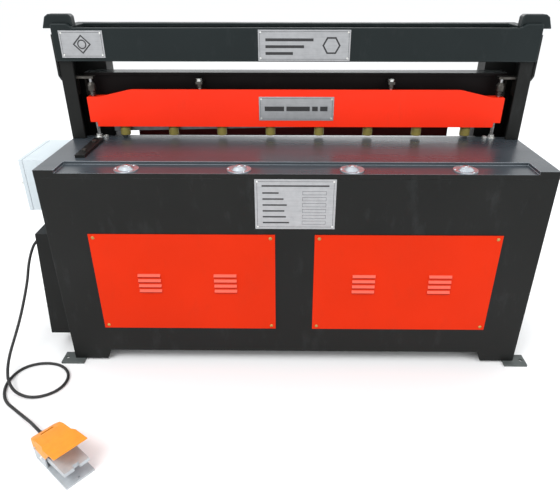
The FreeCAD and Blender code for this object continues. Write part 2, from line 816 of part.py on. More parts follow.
def spur_gear(teeth, at, span, bore, first_angle):
    """Spur gear on an axis parallel to X; first_angle is measured from +Y towards +Z."""
    points = gear_outline(teeth, first_angle)
    corners = [Vector(span[0].value, at[0].value + y, at[1].value + z) for y, z in points]
    face = Part.Face(Part.makePolygon(corners + corners[:1]))
    solid = face.extrude(Vector(span[1].value - span[0].value, 0, 0))
    blank = doc.addObject("Part::Feature", "gear_blank")
    blank.Shape = solid
    return less(blank, bar("x", at, (span[0] - 1, span[1] + 1), bore))


def grooved_wheel(at, radius, hub_radius, bore):
    """Belt wheel with two V grooves."""
    half = wheel_wide / 2
    outline = [(bore, -half), (radius, -half)]
    for middle in (-9, 9):
        outline += [(radius, middle - 7), (radius - 11, middle - 4),
                    (radius - 11, middle + 4), (radius, middle + 7)]
    outline += [(radius, half), (bore, half)]
    wheel = turned(outline, "x", at, belt_x)
    hollows = []
    if hub_radius is not None:
        for start, end in ((-half - 1, -half + 12), (half - 12, half + 1)):
            hollows.append(less(
                bar("x", at, (belt_x + start, belt_x + end), radius - 24),
                bar("x", at, (belt_x + start, belt_x + end), hub_radius)))
        wheel = less(wheel, *hollows)
    return wheel


def belt_loop(middle):
    """V belt round the two wheels: a band between two open curves round both wheels."""
    big = Vector(0, lay_y.value, lay_z.value)
    small = Vector(0, motor_y.value, motor_z.value)
    line = small - big
    tilt = math.acos((fly_rad.value - motor_wheel_rad.value) / line.Length)
    heading = math.atan2(line.z, line.y)

    def spot(centre, radius, angle, x):
        return Vector(x, centre.y + radius * math.cos(angle), centre.z + radius * math.sin(angle))

    def outline(depth, x):
        far = fly_rad.value - depth
        near = motor_wheel_rad.value - depth
        up, down = heading + tilt, heading - tilt
        far_arc = Part.Arc(spot(big, far, up, x), spot(big, far, heading + math.pi, x),
                           spot(big, far, down, x))
        near_arc = Part.Arc(spot(small, near, down, x), spot(small, near, heading, x),
                            spot(small, near, up, x))
        edges = [far_arc.toShape(),
                 Part.LineSegment(spot(big, far, down, x), spot(small, near, down, x)).toShape(),
                 near_arc.toShape(),
                 Part.LineSegment(spot(small, near, up, x), spot(big, far, up, x)).toShape()]
        return Part.Wire(edges)

    x = belt_x.value + middle - 4
    band = Part.Face(outline(0, x)).extrude(Vector(8, 0, 0))
    return band.cut(Part.Face(outline(7, x)).extrude(Vector(8, 0, 0)))


def make_drive():
    """Motor, belts, flywheel, reduction gears and crank shaft."""
    left = -half_width
    body = joined(bar("x", (motor_y, motor_z), (-740, -520), 70),
                  bar("x", (motor_y, motor_z), (-752, -740), 78),
                  block((-700, -560), (motor_y - 62, motor_y + 62), (body_low + 16, 90)),
                  block((-660, -600), (motor_y - 35, motor_y + 35), (205, 232)))
    cowl = bar("x", (motor_y, motor_z), (-520, -470), 66)
    rails = [block((-712, -548), (motor_y + y - 14, motor_y + y + 14), (body_low + 4, body_low + 16))
             for y in (-48, 48)]
    piece("motor_body", group(body, cowl, *rails))
    rotor = bar("x", (motor_y, motor_z), (belt_x - 24, -752.5), 11)
    piece("motor_wheel", group(rotor, grooved_wheel((motor_y, motor_z), motor_wheel_rad, None, 11)))
    flywheel = grooved_wheel((lay_y, lay_z), fly_rad, 34, lay_rad)
    belts = doc.addObject("Part::Feature", "belts")
    belts.Shape = Part.makeCompound([belt_loop(-9), belt_loop(9)])
    piece("drive_belts", belts)
    countershaft = bar("x", (lay_y, lay_z), (belt_x - 26, -470), lay_rad)
    axis_angle = math.atan2((shaft_z - lay_z).value, (shaft_y - lay_y).value)
    pinion_step = math.pi / PINION_TEETH
    pinion = spur_gear(PINION_TEETH, (lay_y, lay_z), (as_size(-555), as_size(-525)),
                       lay_rad, axis_angle + pinion_step)
    piece("flywheel_and_pinion", group(flywheel, countershaft, pinion))
    piece("bull_gear", spur_gear(GEAR_TEETH, (shaft_y, shaft_z), (as_size(-552), as_size(-528)),
                                 shaft_rad + running_gap, axis_angle + math.pi))
    bearing = less(bar("x", (lay_y, lay_z), (left + side_skin, left + side_skin + 22), 36),
                   bar("x", (lay_y, lay_z), (left, left + 60), lay_rad + running_gap))
    arm = padded("x", [(60, 190), (146, 190), (146, 226), (126, 286), (60, 286)], (-500, -484))
    arm = less(arm, bar("x", (lay_y, lay_z), (-510, -470), lay_rad + running_gap))
    foot = block((-500, -484), (100, 120), (150, 190))
    share("shaft_bearings", bearing, joined(arm, foot))
    make_crank_shaft()


def make_crank_shaft():
    """Crank shaft with a disc and pin at each end, its bearings, clutch and cam."""
    span = rod_x - rod_half - 4
    shaft = bar("x", (shaft_y, shaft_z), (-span, span), shaft_rad)
    disc = less(bar("x", (shaft_y, shaft_z), (span - 18, span), 58),
                bar("x", (shaft_y, shaft_z), (span - 20, span + 2), shaft_rad))
    pin = bar("x", (shaft_y, shaft_z + throw), (span, rod_x - rod_half - 0.5), 16)
    throw_disc = joined(disc, pin)
    collar = less(joined(bar("x", (shaft_y, shaft_z), (-518, -492), 44),
                         bar("x", (shaft_y, shaft_z), (-478, -470), 44),
                         bar("x", (shaft_y, shaft_z), (-492, -478), 36)),
                  bar("x", (shaft_y, shaft_z), (-520, -460), shaft_rad + running_gap))
    piece("clutch_collar", collar)
    cam = less(bar("x", (shaft_y, shaft_z + 8), (90, 104), 46),
               bar("x", (shaft_y, shaft_z), (80, 110), shaft_rad))
    piece("crank_shaft", group(shaft, throw_disc, mirrored(throw_disc), cam))
    for x in (-590, 590):
        base = block((x - 17, x + 17), (shaft_y - 60, shaft_y + 60), (190, 212))
        stand = padded("x", [(shaft_y - 42, 212), (shaft_y + 42, 212),
                             (shaft_y + 42, shaft_z + 20), (shaft_y + 24, shaft_z + 42),
                             (shaft_y - 24, shaft_z + 42), (shaft_y - 42, shaft_z + 20)],
                       (x - 15, x + 15))
        bore = bar("x", (shaft_y, shaft_z), (x - 30, x + 30), shaft_rad + running_gap)
        share("shaft_bearings", less(joined(base, stand), bore))
    switch = joined(block((84, 112), (shaft_y - 14, shaft_y + 14), (190, 226)),
                    bar("x", (shaft_y, 232), (92, 102), 6))
    solenoid = joined(block((-466, -400), (shaft_y - 26, shaft_y + 26), (190, 236)),
                      bar("x", (shaft_y, 216), (-478, -466), 8))
    piece("stroke_controls", group(switch, solenoid))


def make_connecting_rods():
    """Rods from the crank discs up to the ram, with a bush and pin end in each lower eye."""
    xs = (rod_x - rod_half, rod_x + rod_half)
    low = shaft_z + throw
    shank = block(xs, (shaft_y - 17, shaft_y + 17), (low, ram_pin_z))
    eyes = [bar("x", (shaft_y, low), xs, 32), bar("x", (shaft_y, ram_pin_z), xs, 24)]
    holes = [bar("x", (shaft_y, low), (rod_x - 20, rod_x + 20), 16),
             bar("x", (shaft_y, ram_pin_z), (rod_x - 20, rod_x + 20), 14 + running_gap)]
    rod = less(joined(shank, *eyes), *holes)
    cap = joined(bar("x", (shaft_y, low), (rod_x - rod_half, rod_x + rod_half), 16),
                 bar("x", (shaft_y, low), (rod_x + rod_half, rod_x + rod_half + 7), 22))
    piece("connecting_rod_right", group(rod, cap))
    piece("connecting_rod_left", group(mirrored(rod), mirrored(cap)))


def make_belt_guard():
    """Folded cover over the belt drive on the left side."""
    def fold(inset, xs):
        return padded("x", [(guard_front + inset, guard_top - inset),
                            (guard_toe + inset, guard_low + inset),
                            (rear_y - inset, guard_low + inset),
                            (rear_y - inset, guard_top - inset)], xs)
    outer = fold(0, (-half_width - guard_out, -half_width))
    inner = fold(guard_skin, (-half_width - guard_out + guard_skin, -half_width + 1))
    piece("belt_guard", less(outer, inner))
    heads = [hexagon("x", (y, z), (-half_width - guard_out - 4, -half_width - guard_out), 7)
             for y in (guard_front + 22, rear_y - 22) for z in (guard_low + 22, guard_top - 22)]
    share("fasteners", *heads)


# ---------------------------------------------------------------- back gauge

def make_back_gauge():
    """Two rods behind the blades with a sliding stop bar, clamped by hand knobs."""
    rods = []
    for sign in (-1, 1):
        x = sign * gauge_rod_x
        rods.append(joined(bar("y", (x, gauge_rod_z), (table_rear, 560), gauge_rod_rad),
                           bar("y", (x, gauge_rod_z), (table_rear, 110), 22)))
    rods = [less(rod, block((-800, 800), (60, shear_y), (gauge_rod_z - 3.5, 700))) for rod in rods]
    piece("gauge_rods", group(*rods))
    bar_body = block((-630, 620), (gauge_y, gauge_y + 14), (gauge_low, gauge_top))
    carriages = []
    for sign in (-1, 1):
        x = sign * gauge_rod_x
        sleeve = block((x - 26, x + 26), (gauge_y + 14, gauge_y + 74),
                       (gauge_rod_z - 24, gauge_rod_z + 24))
        web = block((x - 8, x + 8), (gauge_y + 14, gauge_y + 60),
                    (gauge_rod_z + 24, gauge_top - 14))
        hole = bar("y", (x, gauge_rod_z), (gauge_y, gauge_y + 100), gauge_rod_rad + running_gap)
        carriages.append(less(joined(sleeve, web), hole))
    piece("gauge_bar", group(bar_body, *carriages))
    for side, sign in (("left", -1), ("right", 1)):
        start = sign * (gauge_rod_x + 26)
        out = [sign * gap for gap in (0.3, 14, 30)]
        inner, stem, outer = (start + gap for gap in out)
        at = (gauge_y + 44, gauge_rod_z)
        spans = [(inner, stem), (stem, outer)] if sign > 0 else [(stem, inner), (outer, stem)]
        knob = bar("x", at, spans[1], 17)
        lobes = [bar("x", (at[0] + 17 * math.cos(angle), at[1] + 17 * math.sin(angle)),
                     spans[1], 6) for angle in (math.radians(60 * i) for i in range(6))]
        piece("gauge_knob_" + side, joined(bar("x", at, spans[0], 8), knob, *lobes))


# ---------------------------------------------------------------- control box

def make_control_box():
    """Sheet-metal control box on the left side with a door on its outer face."""
    outer = -half_width - box_out
    shell = less(block((outer, -half_width), (box_front, box_rear), (box_low, box_top)),
                 block((outer - 1, -half_width - box_skin), (box_front + box_skin, box_rear - box_skin),
                       (box_low + box_skin, box_top - box_skin)))
    mounting = -half_width - box_skin
    chassis = block((mounting - 3, mounting), (box_front + 14, box_rear - 14),
                    (box_low + 14, box_top - 14))
    parts = [block((mounting - 60, mounting - 3), (34, 82), (590, 650)),
             block((mounting - 60, mounting - 3), (100, 148), (590, 650)),
             block((mounting - 48, mounting - 3), (166, 226), (600, 650)),
             block((mounting - 70, mounting - 3), (40, 120), (505, 570)),
             block((mounting - 30, mounting - 3), (140, 230), (515, 540))]
    piece("control_gear", group(chassis, *parts))
    door_skin = 2
    face = outer - 0.5
    door = less(block((face - 14, face), (box_front - 1, box_rear - 8), (box_low - 1, box_top + 1)),
                block((face - 14 + door_skin, face + 1), (box_front + 1, box_rear - 10),
                      (box_low + 1, box_top - 1)))
    hinge_y = box_rear - 3
    hinge_x = face - 7
    knuckle_zs = ((box_low + 20, box_low + 40), (box_top - 40, box_top - 20))
    knuckles = [bar("z", (hinge_x, hinge_y), zs, 4.5) for zs in knuckle_zs]
    leaves = [block((hinge_x - 2, hinge_x + 2), (box_rear - 9, hinge_y), zs)
              for zs in knuckle_zs]
    holes = [bar("z", (hinge_x, hinge_y), (zs[0] - 1, zs[1] + 1), 2 + running_gap)
             for zs in knuckle_zs]
    start_at = (70, 620)
    stop_at = (110, 620)
    lock_at = (18, 578)
    cuts = [bar("x", start_at, (face - 15, face), 8), bar("x", stop_at, (face - 15, face), 8),
            bar("x", lock_at, (face - 15, face), 6)]
    piece("control_door", less(joined(door, *knuckles, *leaves), *holes, *cuts))
    pins = [bar("z", (hinge_x, hinge_y), (zs[0] - 12, zs[1] + 12), 2) for zs in knuckle_zs]
    tabs = []
    for low, high in knuckle_zs:
        for zs in ((low - 12, low - 0.4), (high + 0.4, high + 12)):
            eye = joined(bar("z", (hinge_x, hinge_y), zs, 4.5),
                         block((hinge_x, outer), (hinge_y - 2, box_rear), zs))
            tabs.append(less(eye, bar("z", (hinge_x, hinge_y), (zs[0] - 1, zs[1] + 1), 2)))
    piece("control_box", group(shell, *tabs, *pins))
    for node, at in (("start_button", start_at), ("stop_button", stop_at)):
        cap_radius = 10 if node == "start_button" else 14
        piece(node, joined(bar("x", at, (face - 28, face - 20), cap_radius),
                           bar("x", at, (face - 20, face - 4), 7.7)))
    lock = joined(bar("x", lock_at, (face - 20, face - 14.3), 9),
                  bar("x", lock_at, (face - 14.3, face - 8), 5.7),
                  block((face - 28, face - 20), (lock_at[0] - 8, lock_at[0] + 8),
                        (lock_at[1] - 2, lock_at[1] + 2)))
    piece("door_lock", lock)
    gland = joined(hexagon("y", (-880, 510), (box_rear, box_rear + 6), 13),
                   bar("y", (-880, 510), (box_rear + 6, box_rear + 22), 10))
    share("cable_glands", less(gland, bar("y", (-880, 510), (box_rear + 2, box_rear + 30), 4)))


# ---------------------------------------------------------------- foot pedal and its cord

PEDAL_TURN = Rotation(Vector(0, 0, 1), -40.2)
pedal_x = size("pedal_x", -745.8)               # middle of the pedal's rear edge
pedal_y = size("pedal_y", -677.7)
pedal_long = size("pedal_long", 190)
pedal_half = size("pedal_half", 44)
rim_top = size("rim_top", 44)


def on_pedal(thing):
    """Carries a shape from the pedal's own axes (length along x) to its place on the floor."""
    holder = doc.addObject("Part::Compound", "on_pedal")
    holder.Links = [thing]
    holder.Placement = FreeCAD.Placement(Vector(), PEDAL_TURN)
    put(holder, pedal_x, pedal_y, 0)
    return holder


def rounded_corners(rear, half, radius):
    """What a cover loses where its two rear corners are rounded in plan."""
    plan = padded("z", [(rear, -half), (rear + 60, -half), (rear + 60, half), (rear, half)],
                  (0, 140), [(rear, -half, radius), (rear, half, radius)])
    return less(block((rear - 5, rear + 40), (-half - 5, half + 5), (1, 139)), plan)


def make_pedal():
    """Foot switch: base, hood, sprung treadle and the switch that it presses."""
    half = pedal_half
    round_out = 24
    round_in = 20
    plate = padded("z", [(0, -half), (pedal_long, -half), (pedal_long, half), (0, half)], (0, 6),
                   [(0, -half, round_out), (0, half, round_out)])
    rim = less(padded("z", [(0, -half), (86, -half), (86, half), (0, half)], (6, rim_top),
                      [(0, -half, round_out), (0, half, round_out)]),
               padded("z", [(4, -half + 4), (90, -half + 4), (90, half - 4), (4, half - 4)],
                      (5, 47), [(4, -half + 4, round_in), (4, half - 4, round_in)]))
    base = joined(plate, rim)
    pin_at = (66, 36)
    bore = bar("y", pin_at, (-half - 1, half + 1), 4)
    fix = bar("z", (180, 0), (-1, 10), 3)
    inlet = bar("x", (0, 34), (-1, 6), 6)
    switch = joined(block((8, 36), (-20, 16), (6, 30)), block((30, 40), (-8, 4), (20, 26)))
    piece("pedal_base", on_pedal(group(less(base, bore, fix, inlet), switch)))
    treadle = padded("y", [(54, 28), (74, 26), (184, 40), (189, 46), (186, 54), (78, 52), (54, 44)],
                     (-half + 6, half - 6))
    notch = block((175, 200), (-9, 9), (30, 60))
    swing = bar("y", pin_at, (-half, half), 4 + running_gap)
    piece("treadle", on_pedal(less(treadle, notch, swing)))
    share("fasteners", on_pedal(bar("y", pin_at, (-half - 3, half + 3), 4)))
    outer = less(padded("y", [(0, rim_top), (0, 56), (4, 65), (24, 79), (50, 90.5), (176, 114.6),
                              (174, 111), (124, 84), (100, 56), (90, rim_top)], (-half, half)),
                 rounded_corners(0, half, round_out))
    hollow = less(padded("y", [(3, 40), (3, 55), (6.4, 63), (26, 76.4), (51, 87.4), (190, 114),
                               (190, 40)], (-half + 3, half - 3)),
                  rounded_corners(3, half - 3, round_out - 3))
    brim = padded("y", [(96, 99.3), (176, 114.6), (176, 111.4), (96, 96.1)],
                  (-half - 6, half + 6))
    flare = padded("z", [(94, -half), (94, half), (110, half + 6), (190, half + 6),
                         (190, -half - 6), (110, -half - 6)], (90, 120))
    brim = less(brim, less(block((80, 200), (-80, 80), (91, 119)), flare))
    slot = block((29, 36), (-19, 19), (66, 110))
    tabs = [joined(block((26, 42), (side * 37.9 - 2, side * 37.9 + 2), (24, 58)),
                   block((26, 42), (side * 40 - 2, side * 40 + 2), (rim_top + 1, 58)))
            for side in (-1, 1)]
    piece("pedal_hood", on_pedal(joined(less(joined(less(outer, hollow), brim), slot), *tabs)))
    screws = [bar("y", (34, 52), ys, 4) for ys in ((-half - 4, -half), (half, half + 4))]
    share("fasteners", on_pedal(group(*screws)))
    spring = coil_spring("pedal_coil", as_size(0), as_size(0), as_size(6), as_size(31.2), 7, 1, 6)
    spring.Placement = FreeCAD.Placement(Vector(118, 0, 0), Rotation())
    piece("treadle_spring", on_pedal(spring))
    gland = joined(bar("x", (0, 34), (-12, 0), 10), taper("x", (0, 34), (-28, -12), 6.5, 9))
    gland = less(gland, bar("x", (0, 34), (-30, 0), cord_rad + 0.3))
    share("cable_glands", on_pedal(gland))


def make_guard_gland():
    """Gland by which the pedal's cord leaves the belt guard."""
    face = -half_width - guard_out
    at = (-40, 384)
    gland = joined(hexagon("x", at, (face - 6, face), 12), bar("x", at, (face - 12, face - 6), 9),
                   taper("x", at, (face - 30, face - 12), 6.6, 8.5))
    share("cable_glands", less(gland, bar("x", at, (face - 40, face + 10), cord_rad + 0.3)))


# The cord's route: out of the guard, down in front of it, over its own loop and back under
# itself to the pedal.
CORD_ROUTE = [
    (-905, -40, 384), (-940, -40, 384), (-972, -43, 366), (-990, -56, 330), (-993, -92, 292),
    (-988, -132, 252), (-991, -182, 198), (-998, -226, 146), (-1004, -276, 102),
    (-1008, -326, 66), (-1003, -372, 36), (-972, -436, 31), (-930, -475, 12), (-862, -487, 5),
    (-797, -449, 5), (-785, -378, 5), (-832, -318, 5), (-908, -303, 5), (-972, -330, 5),
    (-994, -392, 5), (-986, -450, 5), (-956, -503, 5), (-905, -540, 5), (-861, -573, 7),
    (-824, -606, 20), (-791.6, -639, 34), (-755, -670, 34)]
ARC_SHARE = 0.45


def route_edges(points):
    """Straight runs joined by tangent arcs, with the tightest radius and the length."""
    points = [Vector(*point) for point in points]
    edges = []
    radii = []
    last = points[0]
    for before, corner, after in zip(points, points[1:], points[2:]):
        back = (before - corner).normalize()
        ahead = (after - corner).normalize()
        turn = math.pi - back.getAngle(ahead)
        reach = ARC_SHARE * min((before - corner).Length, (after - corner).Length)
        radius = reach / math.tan(turn / 2)
        start = corner + back * reach
        end = corner + ahead * reach
        bisector = (back + ahead).normalize()
        middle = corner + bisector * (radius / math.cos(turn / 2) - radius)
        edges.append(Part.LineSegment(last, start).toShape())
        edges.append(Part.Arc(start, middle, end).toShape())
        radii.append(radius)
        last = end
    edges.append(Part.LineSegment(last, points[-1]).toShape())
    return edges, radii


def make_cord():
    """The pedal's cord, a round tube along its route."""
    edges, radii = route_edges(CORD_ROUTE)
    path = Part.Wire(edges)
    heading = Vector(*CORD_ROUTE[1]) - Vector(*CORD_ROUTE[0])
    section = Part.Wire([Part.makeCircle(cord_rad.value, Vector(*CORD_ROUTE[0]), heading)])
    tube = path.makePipeShell([section], True, True)
    feature = doc.addObject("Part::Feature", "cord")
    feature.Shape = tube
    piece("pedal_cord", feature)
    expected = math.pi * cord_rad.value ** 2 * path.Length
    print("cord length %.0f mm, volume / expected %.4f" % (path.Length, tube.Volume / expected))
    print("cord radii", [round(radius) for radius in radii])


# ---------------------------------------------------------------- the whole machine

def build():
    """Makes every sub-part."""
    make_side_plates()
    make_front_plate()
    make_table()
    make_feet()
    make_inner_frame()
    make_access_panels()
    make_columns()
    make_top_beam()
    make_lifting_ears()
    make_ram()
    make_lower_blade()
    make_hold_down()
    make_lift_forks()
    make_guide_rods()
    make_ball_units()
    make_side_fence()
    make_label_plates()
    make_drive()
    make_connecting_rods()
    make_belt_guard()
    make_back_gauge()
    make_control_box()
    make_pedal()
    make_guard_gland()
    make_cord()
    for node, things in shared.items():
        piece(node, group(*things))


def check_and_export():
    """Stops if anything failed, then writes one file for each sub-part."""
    doc.recompute()
    failed = [thing.Label for thing in doc.Objects
              if "Invalid" in thing.State or "Error" in thing.State]
    failed += [thing.Label for thing in pieces
               if thing.Shape.isNull() or not thing.Shape.isValid() or not thing.Shape.Solids]
    if failed:
        raise SystemExit("failed: " + ", ".join(failed))
    os.makedirs("parts", exist_ok=True)
    for thing in pieces:
        thing.Shape.exportStep("parts/%s.step" % thing.Label)
    print(len(pieces), "sub-parts")


build()
check_and_export()
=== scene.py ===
"""Looks of a sheet-metal shear and its treadle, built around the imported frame.

Metres. +X is the operator's right, +Y the rear, +Z up, and z = 0 is the floor.
"""
import json
import math

import bmesh
import bpy
from mathutils import Euler, Matrix, Vector


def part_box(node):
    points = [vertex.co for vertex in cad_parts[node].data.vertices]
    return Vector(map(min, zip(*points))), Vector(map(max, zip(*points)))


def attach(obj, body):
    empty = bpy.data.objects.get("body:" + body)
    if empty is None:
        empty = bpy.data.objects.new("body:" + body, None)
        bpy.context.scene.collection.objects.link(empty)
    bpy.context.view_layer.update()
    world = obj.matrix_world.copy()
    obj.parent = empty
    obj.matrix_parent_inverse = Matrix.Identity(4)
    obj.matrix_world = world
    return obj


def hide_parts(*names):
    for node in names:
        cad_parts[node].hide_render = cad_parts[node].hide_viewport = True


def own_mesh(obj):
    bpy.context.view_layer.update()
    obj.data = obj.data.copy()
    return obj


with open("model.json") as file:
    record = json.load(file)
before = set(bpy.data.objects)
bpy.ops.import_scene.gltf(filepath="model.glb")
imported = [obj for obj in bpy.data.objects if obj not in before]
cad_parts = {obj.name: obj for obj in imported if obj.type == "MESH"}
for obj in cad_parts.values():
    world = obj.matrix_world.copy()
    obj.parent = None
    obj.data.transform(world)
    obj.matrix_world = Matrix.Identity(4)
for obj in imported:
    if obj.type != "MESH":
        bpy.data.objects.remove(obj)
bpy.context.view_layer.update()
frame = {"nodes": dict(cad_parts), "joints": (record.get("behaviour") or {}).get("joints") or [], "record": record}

MM = 0.001
nodes = frame["nodes"]
part_slots = {part["node"]: part["material_slot"] for part in frame["record"]["subparts"]}
body_of = {node: body for body, members in frame["record"]["behaviour"]["bodies"].items()
           for node in members}


# ---------------------------------------------------------------- materials

MIX_FIRST, MIX_SECOND, MIX_RESULT = 6, 7, 2    # colour sockets of a mix node
EDGE_HIGHLIGHT_WIDTH = 4 * MM                             # width of the painted highlight line on an edge that catches the light
PAINT_EDGE = 1.2 * MM                          # how far paint is rubbed from an edge
METAL_EDGE = 0.6 * MM
CAST_EDGE = 1 * MM
PLASTIC_EDGE = 0.8 * MM
DRAWN_DEPTH = 0.008 * MM                       # depth of drawn or ground lines
CAST_DEPTH = 0.1 * MM                          # depth of a casting's pits
GRAIN_DEPTH = 0.04 * MM                        # depth of orange peel and of moulded grain


def srgb(red, green, blue):
    """Linear colour of an 8-bit screen colour."""
    def linear(value):
        value /= 255
        return value / 12.92 if value <= 0.04045 else ((value + 0.055) / 1.055) ** 2.4
    return (linear(red), linear(green), linear(blue), 1.0)


def shaded(colour, factor):
    """The colour made lighter or darker."""
    return tuple(min(1.0, part * factor) for part in colour[:3]) + (1.0,)


class Look:
    """A procedural material. Its methods add nodes and return an output socket."""

    def __init__(self, name):
        self.material = bpy.data.materials.new(name)
        self.material.use_nodes = True
        self.tree = self.material.node_tree
        self.shader = self.tree.nodes["Principled BSDF"]
        self.place = self.node("ShaderNodeTexCoord").outputs["Object"]

    def node(self, kind, **settings):
        """Adds a shader node with its settings."""
        made = self.tree.nodes.new(kind)
        for key, value in settings.items():
            setattr(made, key, value)
        return made

    def feed(self, socket, value):
        """Links an output to a socket, or sets the socket's own number or colour."""
        if isinstance(value, bpy.types.NodeSocket):
            self.tree.links.new(value, socket)
        else:
            socket.default_value = value

    def noise(self, size, stretch=(1, 1, 1), detail=3.0, rough=0.55):
        """Noise with features of that size in metres, longer along stretched axes."""
        mapping = self.node("ShaderNodeMapping")
        mapping.inputs["Scale"].default_value = [1 / part for part in stretch]
        self.feed(mapping.inputs["Vector"], self.place)
        noise = self.node("ShaderNodeTexNoise")
        noise.inputs["Scale"].default_value = 1 / size
        noise.inputs["Detail"].default_value = detail
        noise.inputs["Roughness"].default_value = rough
        self.feed(noise.inputs["Vector"], mapping.outputs[0])
        return noise.outputs[0]

    def cells(self, size):
        """Distance to the nearest of many scattered points, for castings and grit."""
        cells = self.node("ShaderNodeTexVoronoi")
        cells.inputs["Scale"].default_value = 1 / size
        self.feed(cells.inputs["Vector"], self.place)
        return cells.outputs[0]

    def ramp(self, value, low, high, start=0.0, end=1.0):
        """Value from start to end as the input goes from low to high."""
        ramp = self.node("ShaderNodeMapRange", clamp=True)
        for socket, number in zip(ramp.inputs[1:5], (low, high, start, end)):
            socket.default_value = number
        self.feed(ramp.inputs[0], value)
        return ramp.outputs[0]

    def maths(self, operation, first, second):
        """A sum, product or other operation on two values."""
        maths = self.node("ShaderNodeMath", operation=operation)
        self.feed(maths.inputs[0], first)
        self.feed(maths.inputs[1], second)
        return maths.outputs[0]

    def mix(self, factor, first, second):
        """The first colour where the factor is 0, the second where it is 1."""
        mix = self.node("ShaderNodeMix", data_type="RGBA")
        self.feed(mix.inputs["Factor"], factor)
        self.feed(mix.inputs[MIX_FIRST], first)
        self.feed(mix.inputs[MIX_SECOND], second)
        return mix.outputs[MIX_RESULT]

    def edges(self, radius):
        """Near 1 on sharp outer edges, 0 elsewhere, and the normal rounded at edges."""
        bevel = self.node("ShaderNodeBevel", samples=6)
        bevel.inputs["Radius"].default_value = radius
        true_normal = self.node("ShaderNodeNewGeometry").outputs["Normal"]
        dot = self.node("ShaderNodeVectorMath", operation="DOT_PRODUCT")
        self.feed(dot.inputs[0], bevel.outputs[0])
        self.feed(dot.inputs[1], true_normal)
        return self.ramp(dot.outputs["Value"], 0.995, 0.85), bevel.outputs[0]

    def finish(self, colour, rough, height=None, depth=0.0, normal=None, **constants):
        """Sends the colour, roughness and bump to the shader, with its plain numbers."""
        self.feed(self.shader.inputs["Base Color"], colour)
        self.feed(self.shader.inputs["Roughness"], rough)
        if height is not None:
            bump = self.node("ShaderNodeBump")
            bump.inputs["Distance"].default_value = depth
            self.feed(bump.inputs["Height"], height)
            if normal is not None:
                self.feed(bump.inputs["Normal"], normal)
            normal = bump.outputs[0]
        if normal is not None:
            self.feed(self.shader.inputs["Normal"], normal)
        for key, value in constants.items():
            self.shader.inputs[key.replace("_", " ")].default_value = value
        return self.material


def paint(name, colour, rough, worn, gloss=0.3, patch=0.10, streak=(1, 1, 1), grime=0.2,
          painted_edge_highlight=None):
    """Sprayed enamel on steel: orange peel, slow tone changes, dust, rubbed edges, and where asked a painted
    highlight line along the edges.
    """
    look = Look(name)
    tone = look.ramp(look.noise(0.35, detail=2.0), 0.3, 0.7)
    body = look.mix(tone, shaded(colour, 1 - patch), shaded(colour, 1 + patch))
    dust = look.ramp(look.noise(0.05, (1, 1, 2.5), 5.0, 0.7), 0.56, 0.78, 0.0, grime)
    body = look.mix(dust, body, worn)
    # Painted highlight: a pale line along every sharp edge, standing for light caught by a rounded edge.
    if painted_edge_highlight is not None:
        lip, _ = look.edges(EDGE_HIGHLIGHT_WIDTH)
        body = look.mix(look.maths("MULTIPLY", lip, 0.8), body, painted_edge_highlight)
    edge, soft_normal = look.edges(PAINT_EDGE)
    rubbed = look.maths("MULTIPLY", edge, look.ramp(look.noise(0.03, detail=5.0), 0.42, 0.66))
    body = look.mix(rubbed, body, shaded(worn, 1.7))
    sheen = look.ramp(look.noise(0.12, streak, 4.0), 0.3, 0.7,
                      rough - 0.07, rough + 0.08)
    skin = look.noise(0.0022, detail=1.0)
    wave = look.maths("MULTIPLY", look.noise(0.16, detail=1.0), 12.0)
    return look.finish(body, sheen, look.maths("ADD", skin, wave), GRAIN_DEPTH, soft_normal,
                       Specular_IOR_Level=gloss)


def metal(name, colour, rough, grain=(1, 1, 1), grain_size=0.0006, stain=None, scratch=0.25,
          bare=1.0):
    """Bare or plated metal: drawn grain, uneven plating and bright edges."""
    look = Look(name)
    lines = look.noise(grain_size, grain, 2.0)
    cloud = look.ramp(look.noise(0.02, detail=4.0), 0.35, 0.7)
    body = look.mix(cloud, colour, stain or shaded(colour, 0.72))
    body = look.mix(look.ramp(lines, 0.35, 0.65, 0.0, scratch), body, shaded(colour, 1.25))
    edge, soft_normal = look.edges(METAL_EDGE)
    body = look.mix(look.maths("MULTIPLY", edge, 0.6), body, shaded(colour, 1.4))
    sheen = look.ramp(look.maths("ADD", look.maths("MULTIPLY", lines, 0.4),
                                 look.maths("MULTIPLY", look.noise(0.015), 0.6)),
                      0.3, 0.7, rough - 0.08, rough + 0.12)
    return look.finish(body, sheen, lines, DRAWN_DEPTH, soft_normal, Metallic=bare)


def cast(name, colour, rough):
    """Sand-cast iron, painted or bare: pitted skin, patchy darker and lighter tone."""
    look = Look(name)
    pits = look.maths("ADD", look.cells(0.004), look.noise(0.0015, detail=4.0))
    body = look.mix(look.ramp(look.noise(0.05, detail=5.0), 0.35, 0.7), shaded(colour, 0.7),
                    shaded(colour, 1.2))
    edge, soft_normal = look.edges(CAST_EDGE)
    body = look.mix(look.maths("MULTIPLY", edge, 0.5), body, shaded(colour, 2.2))
    sheen = look.ramp(pits, 0.3, 1.2, rough - 0.1, rough + 0.1)
    return look.finish(body, sheen, pits, CAST_DEPTH, soft_normal, Metallic=0.6)


def plastic(name, colour, rough, dirt=None, **constants):
    """Moulded plastic or rubber: fine sparked grain, handling marks, paler edges."""
    look = Look(name)
    fine = look.noise(0.8 * MM, detail=2.0)
    body = look.mix(look.ramp(look.noise(0.03, detail=4.0), 0.4, 0.75, 0.0, 0.5), colour,
                    dirt or shaded(colour, 0.86))
    edge, soft_normal = look.edges(PLASTIC_EDGE)
    body = look.mix(look.maths("MULTIPLY", edge, 0.35), body, shaded(colour, 1.25))
    sheen = look.ramp(look.noise(0.01, detail=4.0), 0.3, 0.7, rough - 0.06, rough + 0.1)
    return look.finish(body, sheen, fine, GRAIN_DEPTH, soft_normal, **constants)


